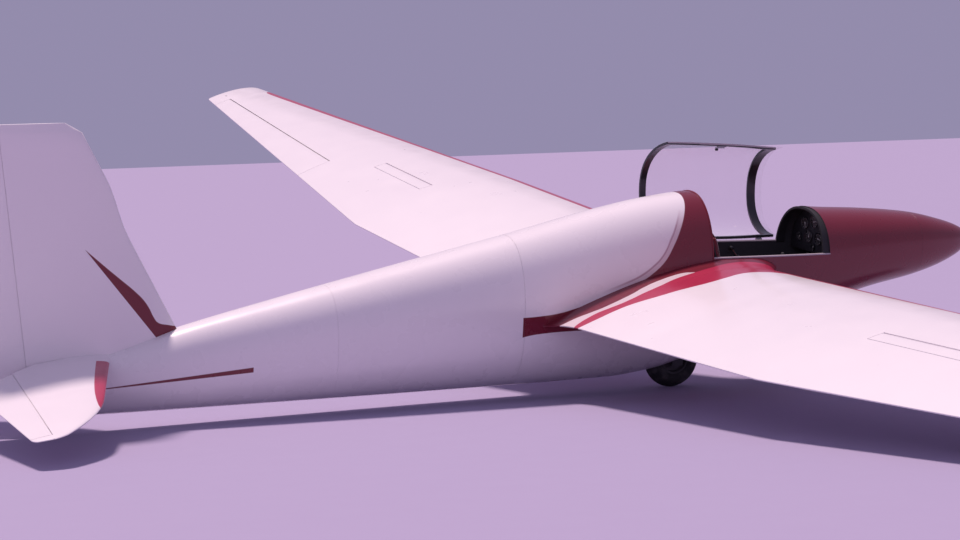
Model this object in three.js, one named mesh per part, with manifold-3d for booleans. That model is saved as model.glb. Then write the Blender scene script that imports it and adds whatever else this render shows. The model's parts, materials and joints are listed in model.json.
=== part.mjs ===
// A single-seat sailplane, parked with its right wing tip on the ground and its canopy open.
// Millimetres. Every piece is made in the airframe's level frame: +X to the nose, +Y to the left
// wing, +Z up, with the main wheel's lowest point at the origin. The last step rolls the airframe
// onto its three points of support and puts the origin at the bottom centre of its box.
import * as THREE from 'three';
import { mergeVertices } from 'three/addons/utils/BufferGeometryUtils.js';
import Module from 'manifold-3d';

const wasm = await Module();
wasm.setup();

// Gaps
const seam = 0.35; // between pieces that touch
const clearance = 6; // around pieces that move
const far = 1000; // past everything that a cut has to clear
const overrun = 5; // how far a cut runs past the face it opens
const weld = 1e-3; // points nearer than this are one

// Fuselage stations: x, top, bottom, half width
const stations = [
  { x: 2160, top: 856, bottom: 812, half: 22 },
  { x: 2090, top: 904, bottom: 757, half: 76 },
  { x: 1920, top: 970, bottom: 680, half: 152 },
  { x: 1680, top: 1024, bottom: 618, half: 214 },
  { x: 1350, top: 1058, bottom: 560, half: 262 },
  { x: 960, top: 1084, bottom: 458, half: 290 },
  { x: 520, top: 1188, bottom: 322, half: 310 },
  { x: 100, top: 1218, bottom: 205, half: 318 },
  { x: -200, top: 1190, bottom: 130, half: 318 },
  { x: -500, top: 1140, bottom: 102, half: 312 },
  { x: -1150, top: 1000, bottom: 98, half: 290 },
  { x: -1730, top: 880, bottom: 98, half: 262 },
  { x: -2560, top: 706, bottom: 100, half: 208 },
  { x: -3160, top: 572, bottom: 102, half: 158 },
  { x: -3650, top: 440, bottom: 105, half: 112 },
  { x: -4005, top: 376, bottom: 122, half: 68 },
];
const noseEnd = 2160;
const shellFront = 1680;
const deckEdge = 985; // rear edge of the nose deck
const bulkhead = 100; // front face of the turtle deck, rear of the canopy opening
const wheelStep = { front: 235, top: 425 }; // the wheel box that reaches under the seat
const centreRear = -1150;
const tailEnd = -4005;
const sill = { rear: 848, front: 830 }; // height of the cockpit's edge at the bulkhead and the deck
const wall = 14;
const roundness = 2.3; // of a fuselage section; 2 is an ellipse
const ringPoints = 32;

// Wing: 15 m span, straight taper outside a kink in the trailing edge
const wing = {
  root: 360, // where the root figures hold, from the centre line
  fairing: 540, // where the root fairing ends
  kink: 2700,
  tip: 7400,
  end: 7500,
  rootChord: 1400,
  kinkChord: 1330,
  tipChord: 460,
  leadingEdge: 450,
  sweep: 3.7,
  height: 650, // of the pivot line at the root
  pivot: 0.4, // the share of the chord that the incidence turns about
  dihedral: 3.5,
  incidence: 9.3,
  thickness: 0.145,
  tipThickness: 0.12,
  camber: 0.025,
  edge: 3, // half the thickness of the trailing edge
};
// The round wing tip: how far in from the end, thinner by, chord shrunk to, about a share of it
const tipSteps = [
  { inset: 25, thick: -8, shrink: 0.9 },
  { inset: 0, thick: -26, shrink: 0.62 },
];
const tipShrinkAbout = 0.35;
// The root fairing: y, and how far it reaches past the wing's section ahead, behind and in thickness
const fairingSteps = [
  { y: 250, front: 150, rear: 130, thick: 70 },
  { y: 330, front: 90, rear: 70, thick: 34 },
  { y: 420, front: 30, rear: 22, thick: 10 },
  { y: wing.fairing, front: 0, rear: 0, thick: 0 },
];
const fairingSpan = { front: 1200, rear: -1600 }; // the fuselage length that the fairing is cut by
const aileron = { from: 4300, to: 7150, hinge: 0.75 };
const airbrake = { from: 2850, to: 3750, hinge: 0.5, reach: 92, depth: 7, radius: 7, below: 8 };
const skid = { at: 7300, length: 230, width: 26, depth: 100 };
// The skid's outline, as shares of its length from the middle and of its depth
const skidOutline = [[0.5, 0], [0.36, 0.72], [0.16, 0.98], [-0.1, 1], [-0.4, 0.62], [-0.5, 0.16]];

// Tail
const fin = {
  foot: { z: 165, lead: -2935, trail: -4438, thin: 0.7 },
  shoulder: { z: 1690, lead: -3735, trail: -4505, thin: 1 },
  top: { z: 1745, lead: -3830, trail: -4500, thin: 0.55 },
  hingeFoot: [-4042, 0, 130],
  hingeTop: [-4220, 0, 1790],
  hingeShare: { foot: 0.74, shoulder: 0.62 },
  thickness: 0.068,
  edge: 2,
};
const stabilizer = {
  root: 60,
  rootLead: -3600,
  tip: 1450,
  tipLead: -4065,
  end: 1500,
  endStep: { lead: 55, trail: 30, thin: 0.5 }, // how the round tip draws in
  trail: -4420,
  leadHeight: 428,
  incidence: 6,
  thickness: 0.09,
  edge: 2,
  hingeRoot: -4165,
  hingeTip: -4315,
  elevatorFrom: 70,
  elevatorTo: 1440,
  hingeShare: { inner: 0.68, outer: 0.69 },
  cover: { rear: -5000, front: -3000, half: 20 }, // kept free inside the tail cone
};
// Room beside the fin that the swinging rudder needs: half width at its start, growth behind it
const rudderSwing = { start: 36, slope: 0.62, ahead: 60, rear: -4700, elevatorGap: 6 };
const tailCover = -2000; // where the tail cone begins to matter to the tail surfaces

// Hinge knuckles: places along the hinge line as shares, pin radius, lug radius, half width
const knuckles = {
  aileron: { places: [0.15, 0.85], pin: 3, lug: 6.5, half: 4 },
  airbrake: { places: [0.08, 0.92], pin: 2.5, lug: 5.5, half: 4 },
  rudder: { places: [0.25, 0.8], pin: 4, lug: 9, half: 5 },
  elevator: { places: [0.2, 0.78], pin: 2.5, lug: 5.5, half: 4 },
};
const pinOverhang = 6; // how far a pin reaches into the moving piece
const armReach = 14; // how far a knuckle's arm reaches into the fixed piece
const armDepth = 1.3; // half the arm's depth, in pin radii
const surfaceDepth = 300; // past the thickness of any wing or tail surface

// Wheels
const mainWheel = { x: 0, radius: 180, halfWidth: 64, rim: 92, bore: 12 };
const wheelWell = { radius: 205, halfWidth: 86, below: 50 };
const tailWheel = { x: -3900, radius: 70, halfWidth: 21, rim: 34, bore: 5 };
const tailWell = { radius: 84, halfWidth: 36 };
const tyreShape = { steps: 6, fullness: 0.75, bead: 0.8 };
// The hub's dished face: shares of the rim radius, shares of the hub's half width
const hubShape = { width: 0.78, dish: 0.5, inner: 0.45, outer: 0.84 };
const axlePlate = { half: 38, thick: 7, below: 34, above: 60, bite: 3 };
const fork = { half: 14, inner: 28, outer: 33, bridge: 9, above: 4 };
const mainSteps = 32;
const tailSteps = 20;
const wellSteps = 24;
const roundSides = 8; // on pins, lugs and bores
const coveSides = 12; // on the round noses of control surfaces

// Canopy: glass and frame thickness, width of hoops and rails, how far the glass runs past the
// front hoop, how far it stands open
const canopy = { front: 934, glass: 4, frame: 16, hoop: 34, rail: 24, overhang: 48, open: 96 };
const hoopFront = canopy.front - canopy.overhang;
const hinge = {
  rearX: 200,
  frontX: 780,
  out: 5,
  up: 7,
  pin: 4,
  lug: 10,
  half: 6,
  sleeve: 12, // width of each of the frame's two eyes
  sleeveWall: 3,
  arm: 22,
  armFrom: 1,
  armTo: 9,
  post: 13,
  postDeep: 30,
  postTop: 2,
  room: 5,
  glassRoom: 8,
};

// Cockpit. Lines and outlines are [x, z].
const seat = {
  thickness: 8,
  narrow: 250, // half width above the cockpit's edge, so that the canopy frame closes past it
  line: [[118, 985], [150, 860], [240, 560], [300, 478], [400, 452], [560, 470], [760, 520]],
};
const floor = { thickness: 8, line: [[790, 520], [1200, 590], [1620, 690]] };
const seatCushion = {
  half: 195,
  outline: [[330, 505], [420, 497], [560, 512], [680, 540], [690, 495], [560, 464], [400, 446], [330, 462]],
};
const backCushion = {
  half: 190,
  outline: [[196, 960], [215, 860], [290, 630], [322, 560], [280, 530], [235, 560], [145, 850], [115, 960]],
};
const headrest = { depth: 62, half: 115, bottom: 1000, top: 1115 };
const panel = { x: 1000, thickness: 5, bottom: 790 };
const cowl = { rear: 940, inset: 2, thickness: 12 };
const stick = { foot: [866, 512], neck: [800, 700], radius: 9 };
const grip = { foot: [804, 690], top: [775, 800], radius: 15, topRadius: 13 };
const pedal = { inner: 45, width: 90, outline: [[1393, 625], [1406, 620], [1470, 800], [1455, 806]] };
const towHook = { x: 1100, half: 45, halfWidth: 16, drop: 24, rise: 60 };

// Paints
const paint = {
  white: { color: 0xf2e9ea, roughness: 0.35, metalness: 0 },
  red: { color: 0xb3122c, roughness: 0.35, metalness: 0 },
  black: { color: 0x17161a, roughness: 0.6, metalness: 0 },
  tyre: { color: 0x1d1c1e, roughness: 0.9, metalness: 0 },
  alloy: { color: 0xb9babd, roughness: 0.4, metalness: 0.8 },
  steel: { color: 0x8d8f94, roughness: 0.4, metalness: 0.9 },
  glass: { color: 0xdfe8ee, roughness: 0.05, metalness: 0, transparent: true, opacity: 0.3 },
  cloth: { color: 0x8a1626, roughness: 0.95, metalness: 0 },
  grey: { color: 0x77767c, roughness: 0.7, metalness: 0 },
};

const rad = THREE.MathUtils.degToRad;
const vec = (x, y, z) => new THREE.Vector3(x, y, z);
const upward = vec(0, 0, 1);

// Solids from geometry and back
function solid(geometry) {
  const bare = geometry.index ? geometry.clone() : geometry;
  bare.deleteAttribute('normal');
  bare.deleteAttribute('uv');
  const merged = mergeVertices(bare, weld);
  const mesh = new wasm.Mesh({
    numProp: 3,
    vertProperties: new Float32Array(merged.attributes.position.array),
    triVerts: new Uint32Array(merged.index.array),
  });
  return new wasm.Manifold(mesh);
}

function geometryOf(body) {
  const mesh = body.getMesh();
  const geometry = new THREE.BufferGeometry();
  geometry.setAttribute('position', new THREE.BufferAttribute(new Float32Array(mesh.vertProperties), 3));
  geometry.setIndex(new THREE.BufferAttribute(new Uint32Array(mesh.triVerts), 1));
  return geometry;
}

// The largest separate body of a cut
function largest(body) {
  const parts = body.decompose();
  return parts.reduce((best, one) => (one.volume() > best.volume() ? one : best));
}

// A closed body through equal rings of points, its two ends filled flat. The flat outline of the
// first and the last ring says how they are filled.
function loft(rings, outlines) {
  const count = rings[0].length;
  const index = [];
  for (let i = 0; i + 1 < rings.length; i++) {
    for (let j = 0; j < count; j++) {
      const a = i * count + j;
      const b = i * count + ((j + 1) % count);
      index.push(a, b, b + count, a, b + count, a + count);
    }
  }
  const last = (rings.length - 1) * count;
  for (const [a, b, c] of THREE.ShapeUtils.triangulateShape(outlines[0], [])) index.push(a, c, b);
  for (const [a, b, c] of THREE.ShapeUtils.triangulateShape(outlines[1], [])) {
    index.push(last + a, last + b, last + c);
  }
  const geometry = new THREE.BufferGeometry().setFromPoints(rings.flat());
  geometry.setIndex(index);
  const body = solid(geometry);
  if (body.volume() > 0) return body;
  for (let k = 0; k < index.length; k += 3) [index[k + 1], index[k + 2]] = [index[k + 2], index[k + 1]];
  geometry.setIndex(index);
  return solid(geometry);
}

function box(x0, x1, y0, y1, z0, z1) {
  const geometry = new THREE.BoxGeometry(x1 - x0, y1 - y0, z1 - z0);
  geometry.translate((x0 + x1) / 2, (y0 + y1) / 2, (z0 + z1) / 2);
  return solid(geometry);
}

// A round bar or a cone between two points
function bar(from, to, fromRadius, toRadius = fromRadius, sides = roundSides) {
  const length = from.distanceTo(to);
  const geometry = new THREE.CylinderGeometry(toRadius, fromRadius, length, sides);
  geometry.translate(0, length / 2, 0);
  const along = to.clone().sub(from).normalize();
  geometry.applyQuaternion(new THREE.Quaternion().setFromUnitVectors(vec(0, 1, 0), along));
  geometry.translate(from.x, from.y, from.z);
  return solid(geometry);
}

// A round bar across the airframe
function crossBar(x, halfWidth, z, radius, sides) {
  return bar(vec(x, -halfWidth, z), vec(x, halfWidth, z), radius, radius, sides);
}

// A six-sided block from four corners of its middle plane, thickened along a normal
function slab(corners, normal, down, up) {
  const low = corners.map((p) => p.clone().addScaledVector(normal, -down));
  const high = corners.map((p) => p.clone().addScaledVector(normal, up));
  const flat = [[0, 0], [1, 0], [1, 1], [0, 1]].map(([u, v]) => new THREE.Vector2(u, v));
  return loft([low, high], [flat, flat]);
}

// A flat outline in the XZ plane, extruded across the airframe
function acrossPlate(points, y0, y1) {
  const shape = new THREE.Shape(points.map(([x, z]) => new THREE.Vector2(x, z)));
  const geometry = new THREE.ExtrudeGeometry(shape, { depth: y1 - y0, bevelEnabled: false });
  geometry.rotateX(Math.PI / 2);
  geometry.translate(0, y1, 0);
  return solid(geometry);
}

// A sheet of one thickness below a line in the XZ plane, extruded across the airframe
function sheetAlong(line, thickness) {
  const upper = line.map(([x, z]) => new THREE.Vector2(x, z));
  const lower = upper.map((point, i) => {
    const before = upper[Math.max(i - 1, 0)];
    const after = upper[Math.min(i + 1, upper.length - 1)];
    const run = after.clone().sub(before).normalize();
    return new THREE.Vector2(point.x + run.y * thickness, point.y - run.x * thickness);
  });
  return acrossPlate([...upper, ...lower.reverse()].map((p) => [p.x, p.y]), -far / 2, far / 2);
}

// Fuselage
function sectionAt(x) {
  const behind = stations.filter((s) => s.x > x).length;
  const k = Math.min(Math.max(behind, 1), stations.length - 1);
  const a = stations[k - 1];
  const b = stations[k];
  const t = (x - a.x) / (b.x - a.x);
  const mix = (key) => a[key] + (b[key] - a[key]) * t;
  return { top: mix('top'), bottom: mix('bottom'), half: mix('half') };
}

function fuselageRing(x, inset) {
  const { top, bottom, half } = sectionAt(x);
  const centre = (top + bottom) / 2;
  const rise = (top - bottom) / 2 - inset;
  const power = 2 / roundness;
  const flat = [];
  for (let i = 0; i < ringPoints; i++) {
    const angle = (i / ringPoints) * 2 * Math.PI;
    const c = Math.cos(angle);
    const s = Math.sin(angle);
    const y = (half - inset) * Math.sign(c) * Math.abs(c) ** power;
    const z = centre + rise * Math.sign(s) * Math.abs(s) ** power;
    flat.push(new THREE.Vector2(y, z));
  }
  return flat;
}

// Stations where every skin has a ring, so that skins of different length lie on each other
const ringStations = [...stations.map((s) => s.x), canopy.front, hoopFront].sort((a, b) => b - a);

function fuselage(front, rear, inset = 0) {
  const inner = ringStations.filter((x) => x < front - 1 && x > rear + 1);
  const places = [front, ...inner, rear];
  const flats = places.map((x) => fuselageRing(x, inset));
  const rings = flats.map((flat, i) => flat.map((p) => vec(places[i], p.x, p.y)));
  return loft(rings, [flats[0], flats[flats.length - 1]]);
}

// A skin of the fuselage between two insets
function fuselageSkin(front, rear, outer, inner) {
  return fuselage(front, rear, outer).subtract(fuselage(front + overrun, rear - overrun, inner));
}

// Half the width of the fuselage at a height
function halfWidthAt(x, z) {
  const { top, bottom, half } = sectionAt(x);
  const share = (z - (top + bottom) / 2) / ((top - bottom) / 2);
  return half * (1 - Math.abs(share) ** roundness) ** (1 / roundness);
}

function sillAt(x) {
  return sill.rear + ((sill.front - sill.rear) * (x - bulkhead)) / (deckEdge - bulkhead);
}

// All that lies above the cockpit's edge between two stations
function aboveSill(rear, front, lift) {
  return acrossPlate([
    [rear, sillAt(rear) + lift],
    [front, sillAt(front) + lift],
    [front, 2 * far],
    [rear, 2 * far],
  ], -far, far);
}

// Half the height of a symmetric aerofoil at a share of its chord, for a thickness and a half edge
function halfProfile(x, thickness, edge) {
  const shape = 0.2969 * Math.sqrt(x) - 0.126 * x - 0.3516 * x * x + 0.2843 * x ** 3 - 0.1036 * x ** 4;
  return 5 * thickness * shape + edge * x;
}

function camberLine(x, camber) {
  return 4 * camber * x * (1 - x);
}

// Aerofoil outline for a chord of 1. It runs from the trailing edge over the top to the nose and
// back below.
function aerofoil(thickness, camber, edge) {
  const steps = 9;
  const outline = [];
  for (let i = 0; i <= 2 * steps; i++) {
    const upper = i <= steps;
    const share = upper ? 1 - i / steps : (i - steps) / steps;
    const x = 1 - Math.cos((share * Math.PI) / 2);
    const half = halfProfile(x, thickness, edge);
    outline.push(new THREE.Vector2(x, camberLine(x, camber) + (upper ? half : -half)));
  }
  return outline;
}

// A wing or a tail surface through sections. Each section has the place of its nose, its chord,
// the direction of the chord and of the thickness.
function surface(sections) {
  const rings = [];
  const outlines = [];
  for (const { nose, chord, back, up, thickness, camber = 0, edge } of sections) {
    const flat = aerofoil(thickness, camber, edge / chord);
    outlines.push(flat);
    rings.push(flat.map((p) => nose.clone()
      .addScaledVector(back, p.x * chord)
      .addScaledVector(up, p.y * chord)));
  }
  return loft(rings, [outlines[0], outlines[outlines.length - 1]]);
}

// Half the thickness of a section at a share of its chord
function halfThickness({ chord, thickness, edge }, share) {
  return halfProfile(share, thickness, edge / chord) * chord;
}

function tilted(incidence) {
  const angle = rad(incidence);
  return {
    back: vec(-Math.cos(angle), 0, -Math.sin(angle)),
    up: vec(-Math.sin(angle), 0, Math.cos(angle)),
  };
}

// Splits a surface at a hinge line from a to b. The moving piece has a round nose about the line,
// and is carried on knuckles of the fixed piece with a pin through each.
function hinged(body, { a, b, back, radiusA, radiusB, reach, down, up, joint }) {
  const along = b.clone().sub(a).normalize();
  const aft = back.clone().addScaledVector(along, -back.dot(along)).normalize();
  const forward = aft.clone().negate();
  const normal = along.clone().cross(aft).normalize();
  if (normal.z < 0 || (Math.abs(normal.z) < 0.5 && normal.y < 0)) normal.negate();
  const flap = (extra) => {
    const start = a.clone().addScaledVector(along, -extra);
    const stop = b.clone().addScaledVector(along, extra);
    const corners = [
      start,
      stop,
      stop.clone().addScaledVector(aft, reach + extra),
      start.clone().addScaledVector(aft, reach + extra),
    ];
    const nose = bar(start, stop, radiusA + extra, radiusB + extra, coveSides);
    return slab(corners, normal, down + extra, up).add(nose);
  };
  let moving = body.intersect(flap(0));
  let fixed = body.subtract(flap(clearance));
  const { places, pin, lug, half } = joint;
  for (const place of places) {
    const centre = a.clone().lerp(b, place);
    const radius = radiusA + (radiusB - radiusA) * place;
    const step = (offset) => centre.clone().addScaledVector(along, offset);
    const strip = (width, ahead) => [
      step(-width),
      step(width),
      step(width).addScaledVector(forward, ahead),
      step(-width).addScaledVector(forward, ahead),
    ];
    const notchHalf = half + clearance;
    const notch = slab(strip(notchHalf, radius + clearance), normal, far, far)
      .add(bar(step(-notchHalf), step(notchHalf), lug + clearance));
    const pinHalf = notchHalf + pinOverhang;
    moving = moving.subtract(notch).add(bar(step(-pinHalf), step(pinHalf), pin));
    const arm = slab(strip(half, radius + clearance + armReach), normal, pin * armDepth, pin * armDepth);
    const bore = bar(step(-half - 1), step(half + 1), pin + seam);
    fixed = fixed.add(arm).add(bar(step(-half), step(half), lug)).subtract(bore);
  }
  return { fixed, moving };
}

// Wings
function wingChord(y) {
  const { root, kink, end, rootChord, kinkChord, tipChord } = wing;
  if (y < kink) return rootChord + ((kinkChord - rootChord) * (y - root)) / (kink - root);
  return kinkChord + ((tipChord - kinkChord) * (y - kink)) / (end - kink);
}

function wingSection(y, { front = 0, rear = 0, thick = 0, shrink = 1 } = {}) {
  const full = wingChord(y);
  const chord = full * shrink + front + rear;
  const { back, up } = tilted(wing.incidence);
  const out = y - wing.root;
  const lead = wing.leadingEdge - out * Math.tan(rad(wing.sweep));
  const pivot = vec(lead - wing.pivot * full, y, wing.height + out * Math.tan(rad(wing.dihedral)));
  const ahead = wing.pivot * full + front - full * (1 - shrink) * tipShrinkAbout;
  const share = Math.max(out / (wing.end - wing.root), 0);
  const ratio = wing.thickness + (wing.tipThickness - wing.thickness) * share;
  return {
    nose: pivot.addScaledVector(back, -ahead),
    chord,
    back,
    up,
    thickness: (ratio * full * shrink + thick) / chord,
    camber: wing.camber,
    edge: wing.edge,
  };
}

// A point inside the wing at a share of the chord
function wingPoint(y, share, lift = 0) {
  const { nose, chord, back, up, camber } = wingSection(y);
  return nose.addScaledVector(back, share * chord)
    .addScaledVector(up, camberLine(share, camber) * chord + lift);
}

function makeWing() {
  const rootSection = wingSection(wing.fairing + seam);
  const sections = [
    rootSection,
    wingSection(wing.kink),
    wingSection(wing.tip),
    ...tipSteps.map((step) => wingSection(wing.end - step.inset, step)),
  ];
  const whole = surface(sections);
  const aileronLine = [aileron.from, aileron.to].map((y) => wingPoint(y, aileron.hinge));
  const [aileronA, aileronB] = [aileron.from, aileron.to]
    .map((y) => halfThickness(wingSection(y), aileron.hinge) - 1);
  const outer = hinged(whole, {
    a: aileronLine[0],
    b: aileronLine[1],
    back: rootSection.back,
    radiusA: aileronA,
    radiusB: aileronB,
    reach: far,
    down: surfaceDepth,
    up: surfaceDepth,
    joint: knuckles.aileron,
  });
  const airbrakeLine = [airbrake.from, airbrake.to].map((y) => (
    wingPoint(y, airbrake.hinge, halfThickness(wingSection(y), airbrake.hinge) - airbrake.below)
  ));
  const inner = hinged(outer.fixed, {
    a: airbrakeLine[0],
    b: airbrakeLine[1],
    back: rootSection.back,
    radiusA: airbrake.radius,
    radiusB: airbrake.radius,
    reach: airbrake.reach,
    down: airbrake.depth,
    up: surfaceDepth,
    joint: knuckles.airbrake,
  });
  const fairing = surface(fairingSteps.map((step) => wingSection(step.y, step)))
    .subtract(fuselage(fairingSpan.front, fairingSpan.rear, -seam));
  const skidTop = wingPoint(skid.at, 0.5);
  const outline = skidOutline.map(([along, deep]) => (
    [skidTop.x + along * skid.length, skidTop.z - deep * skid.depth]
  ));
  const wingWithSeam = surface(sections.map((s) => ({ ...s, thickness: s.thickness + (2 * seam) / s.chord })));
  const blade = acrossPlate(outline, skid.at - skid.width / 2, skid.at + skid.width / 2);
  return {
    wing: inner.fixed,
    aileron: outer.moving,
    airbrake: inner.moving,
    wing_root_fairing: largest(fairing),
    tip_skid: largest(blade.subtract(wingWithSeam)),
    lines: { aileron: aileronLine, airbrake: airbrakeLine },
  };
}

// Tail
function finSection({ z, lead, trail, thin }, grow = 0) {
  return {
    nose: vec(lead + grow, 0, z),
    chord: lead - trail + 2 * grow,
    back: vec(-1, 0, 0),
    up: vec(0, 1, 0),
    thickness: fin.thickness * thin + (2 * grow) / (lead - trail),
    edge: fin.edge,
  };
}

function finSolid(grow = 0) {
  return surface([fin.foot, fin.shoulder, fin.top].map((level) => finSection(level, grow)));
}

function coneWithSeam() {
  return fuselage(tailCover, tailEnd - seam, -seam);
}

function makeFin() {
  const a = vec(...fin.hingeFoot);
  const b = vec(...fin.hingeTop);
  const split = hinged(finSolid(), {
    a,
    b,
    back: vec(-1, 0, 0),
    radiusA: halfThickness(finSection(fin.foot), fin.hingeShare.foot) - 1,
    radiusB: halfThickness(finSection(fin.shoulder), fin.hingeShare.shoulder) - 1,
    reach: far,
    down: surfaceDepth,
    up: surfaceDepth,
    joint: knuckles.rudder,
  });
  return {
    fin: largest(split.fixed.subtract(coneWithSeam())),
    rudder: largest(split.moving),
    line: [a, b],
  };
}

function makeStabilizer() {
  const { root, rootLead, tip, tipLead, end, endStep, trail, leadHeight } = stabilizer;
  const { elevatorFrom, elevatorTo, hingeRoot, hingeTip, hingeShare, cover } = stabilizer;
  const { back, up } = tilted(stabilizer.incidence);
  const fall = Math.tan(rad(stabilizer.incidence));
  const heightAt = (x) => leadHeight - (rootLead - x) * fall;
  const section = (y, lead, rear, thin) => ({
    nose: vec(lead, y, heightAt(lead)),
    chord: (lead - rear) / Math.cos(rad(stabilizer.incidence)),
    back,
    up,
    thickness: stabilizer.thickness * thin,
    edge: stabilizer.edge,
  });
  const centreLead = rootLead + ((rootLead - tipLead) * root) / (tip - root);
  const whole = surface([
    section(0, centreLead, trail, 1),
    section(tip, tipLead, trail, 1),
    section(end, tipLead - endStep.lead, trail + endStep.trail, endStep.thin),
  ]);
  const hingePoint = (y) => {
    const x = hingeRoot + ((hingeTip - hingeRoot) * (y - root)) / (tip - root);
    return vec(x, y, heightAt(x));
  };
  const line = [hingePoint(elevatorFrom), hingePoint(elevatorTo)];
  const split = hinged(whole, {
    a: line[0],
    b: line[1],
    back,
    radiusA: halfThickness(section(elevatorFrom, rootLead, trail, 1), hingeShare.inner) - 1,
    radiusB: halfThickness(section(elevatorTo, tipLead, trail, 1), hingeShare.outer) - 1,
    reach: far,
    down: surfaceDepth,
    up: surfaceDepth,
    joint: knuckles.elevator,
  });
  const rudderRoom = (extra) => {
    const front = fin.hingeFoot[0] + rudderSwing.ahead;
    const half = (x) => rudderSwing.start + extra + (fin.hingeFoot[0] - x) * rudderSwing.slope;
    const corners = [
      vec(front, -half(front), 0),
      vec(front, half(front), 0),
      vec(rudderSwing.rear, half(rudderSwing.rear), 0),
      vec(rudderSwing.rear, -half(rudderSwing.rear), 0),
    ];
    return slab(corners, upward, 0, far);
  };
  const fixed = split.fixed.subtract(coneWithSeam())
    .subtract(finSolid(seam))
    .subtract(rudderRoom(0))
    .subtract(box(cover.rear, cover.front, -far, cover.half, 0, far));
  const elevator = split.moving.subtract(rudderRoom(rudderSwing.elevatorGap));
  return { stabilizer: largest(fixed), elevator: largest(elevator), lines: { elevator: line } };
}

// Wheels
function ringBody(profile, x, z, steps) {
  const geometry = new THREE.LatheGeometry(profile.map(([r, h]) => new THREE.Vector2(r, h)), steps);
  geometry.rotateY(Math.PI / steps);
  geometry.translate(x, 0, z);
  return solid(geometry);
}

function wheel({ x, radius, halfWidth, rim, bore }, steps) {
  const crown = [];
  for (let i = 0; i <= tyreShape.steps; i++) {
    const angle = (i / tyreShape.steps) * Math.PI - Math.PI / 2;
    const out = Math.cos(angle) ** tyreShape.fullness;
    crown.push([rim + (radius - rim) * out, halfWidth * Math.sin(angle)]);
  }
  crown[0] = [rim, -halfWidth * tyreShape.bead];
  crown[tyreShape.steps] = [rim, halfWidth * tyreShape.bead];
  const edge = rim - seam;
  const half = halfWidth * hubShape.width;
  const dish = half * hubShape.dish;
  const rightFace = [
    [bore + seam, -half],
    [edge * hubShape.inner, -dish],
    [edge * hubShape.outer, -dish],
    [edge, -half],
  ];
  const leftFace = rightFace.map(([r, h]) => [r, -h]).reverse();
  return {
    tyre: ringBody([...crown, crown[0]], x, radius, steps),
    hub: ringBody([...rightFace, ...leftFace, rightFace[0]], x, radius, steps),
  };
}

// Canopy, made closed and then swung open about its hinge line on the left edge of the cockpit
function canopyHinge() {
  return [hinge.rearX, hinge.frontX].map((x) => (
    vec(x, halfWidthAt(x, sillAt(x)) + hinge.out, sillAt(x) + hinge.up)
  ));
}

function makeCanopy() {
  const rearEdge = bulkhead + clearance;
  const bubble = (front, outer, inner) => fuselageSkin(front, rearEdge, outer, inner)
    .intersect(aboveSill(rearEdge, front, clearance));
  let glass = bubble(canopy.front, 0, canopy.glass);
  const window = aboveSill(rearEdge + canopy.hoop, hoopFront - canopy.hoop, clearance + canopy.rail);
  let frame = bubble(hoopFront, canopy.glass + seam, canopy.glass + canopy.frame).subtract(window);
  const [rear, front] = canopyHinge();
  const along = front.clone().sub(rear).normalize();
  const inward = vec(0, -1, 0).addScaledVector(along, along.y).normalize();
  const { pin, lug, half, sleeve } = hinge;
  const gapHalf = half + clearance / 2;
  const outerHalf = gapHalf + sleeve;
  const lugs = [];
  const roomAround = [];
  for (const centre of [rear, front]) {
    const step = (offset) => centre.clone().addScaledVector(along, offset);
    const block = (from, to, depth, down, up) => slab([
      step(from),
      step(to),
      step(to).addScaledVector(inward, depth),
      step(from).addScaledVector(inward, depth),
    ], upward, down, up);
    frame = frame.subtract(bar(step(-gapHalf), step(gapHalf), lug + hinge.room));
    for (const [from, to] of [[-outerHalf, -gapHalf], [gapHalf, outerHalf]]) {
      frame = frame.add(block(from, to, hinge.arm, -hinge.armFrom, hinge.armTo))
        .add(bar(step(from), step(to), pin + hinge.sleeveWall));
    }
    frame = frame.add(bar(step(-outerHalf), step(outerHalf), pin));
    glass = glass.subtract(bar(step(-outerHalf - 1), step(outerHalf + 1), lug + hinge.glassRoom));
    lugs.push(bar(step(-half), step(half), lug)
      .add(block(-half, half, hinge.post, hinge.postDeep, -hinge.postTop))
      .subtract(bar(step(-half - 1), step(half + 1), pin + seam)));
    const roomHalf = outerHalf + clearance;
    const postFoot = centre.clone().addScaledVector(upward, -hinge.postDeep - clearance);
    roomAround.push(bar(step(-roomHalf), step(roomHalf), lug + clearance)
      .add(bar(postFoot, centre, lug + clearance)));
  }
  const swing = new THREE.Matrix4().makeTranslation(rear.x, rear.y, rear.z)
    .multiply(new THREE.Matrix4().makeRotationAxis(along, rad(-canopy.open)))
    .multiply(new THREE.Matrix4().makeTranslation(-rear.x, -rear.y, -rear.z));
  return {
    frame: largest(frame).transform(swing.elements),
    glass: largest(glass).transform(swing.elements),
    lugs,
    roomAround,
    line: [rear, front],
  };
}

// All of a body that lies inside the cockpit
function insideHull(body) {
  return largest(body.intersect(fuselage(shellFront - wall - seam, bulkhead + seam, wall + seam)));
}

const bodies = [];
function add(name, body, look) {
  bodies.push({ name, body, look });
}

// The lines that the moving pieces turn about, as two points each. A line across the airframe runs
// from right to left.
const hingeLines = {};
function turnsAbout(name, [a, b], side = 1) {
  const place = (p) => vec(p.x, p.y * side, p.z);
  hingeLines[name] = side > 0 ? [place(a), place(b)] : [place(b), place(a)];
}

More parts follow.
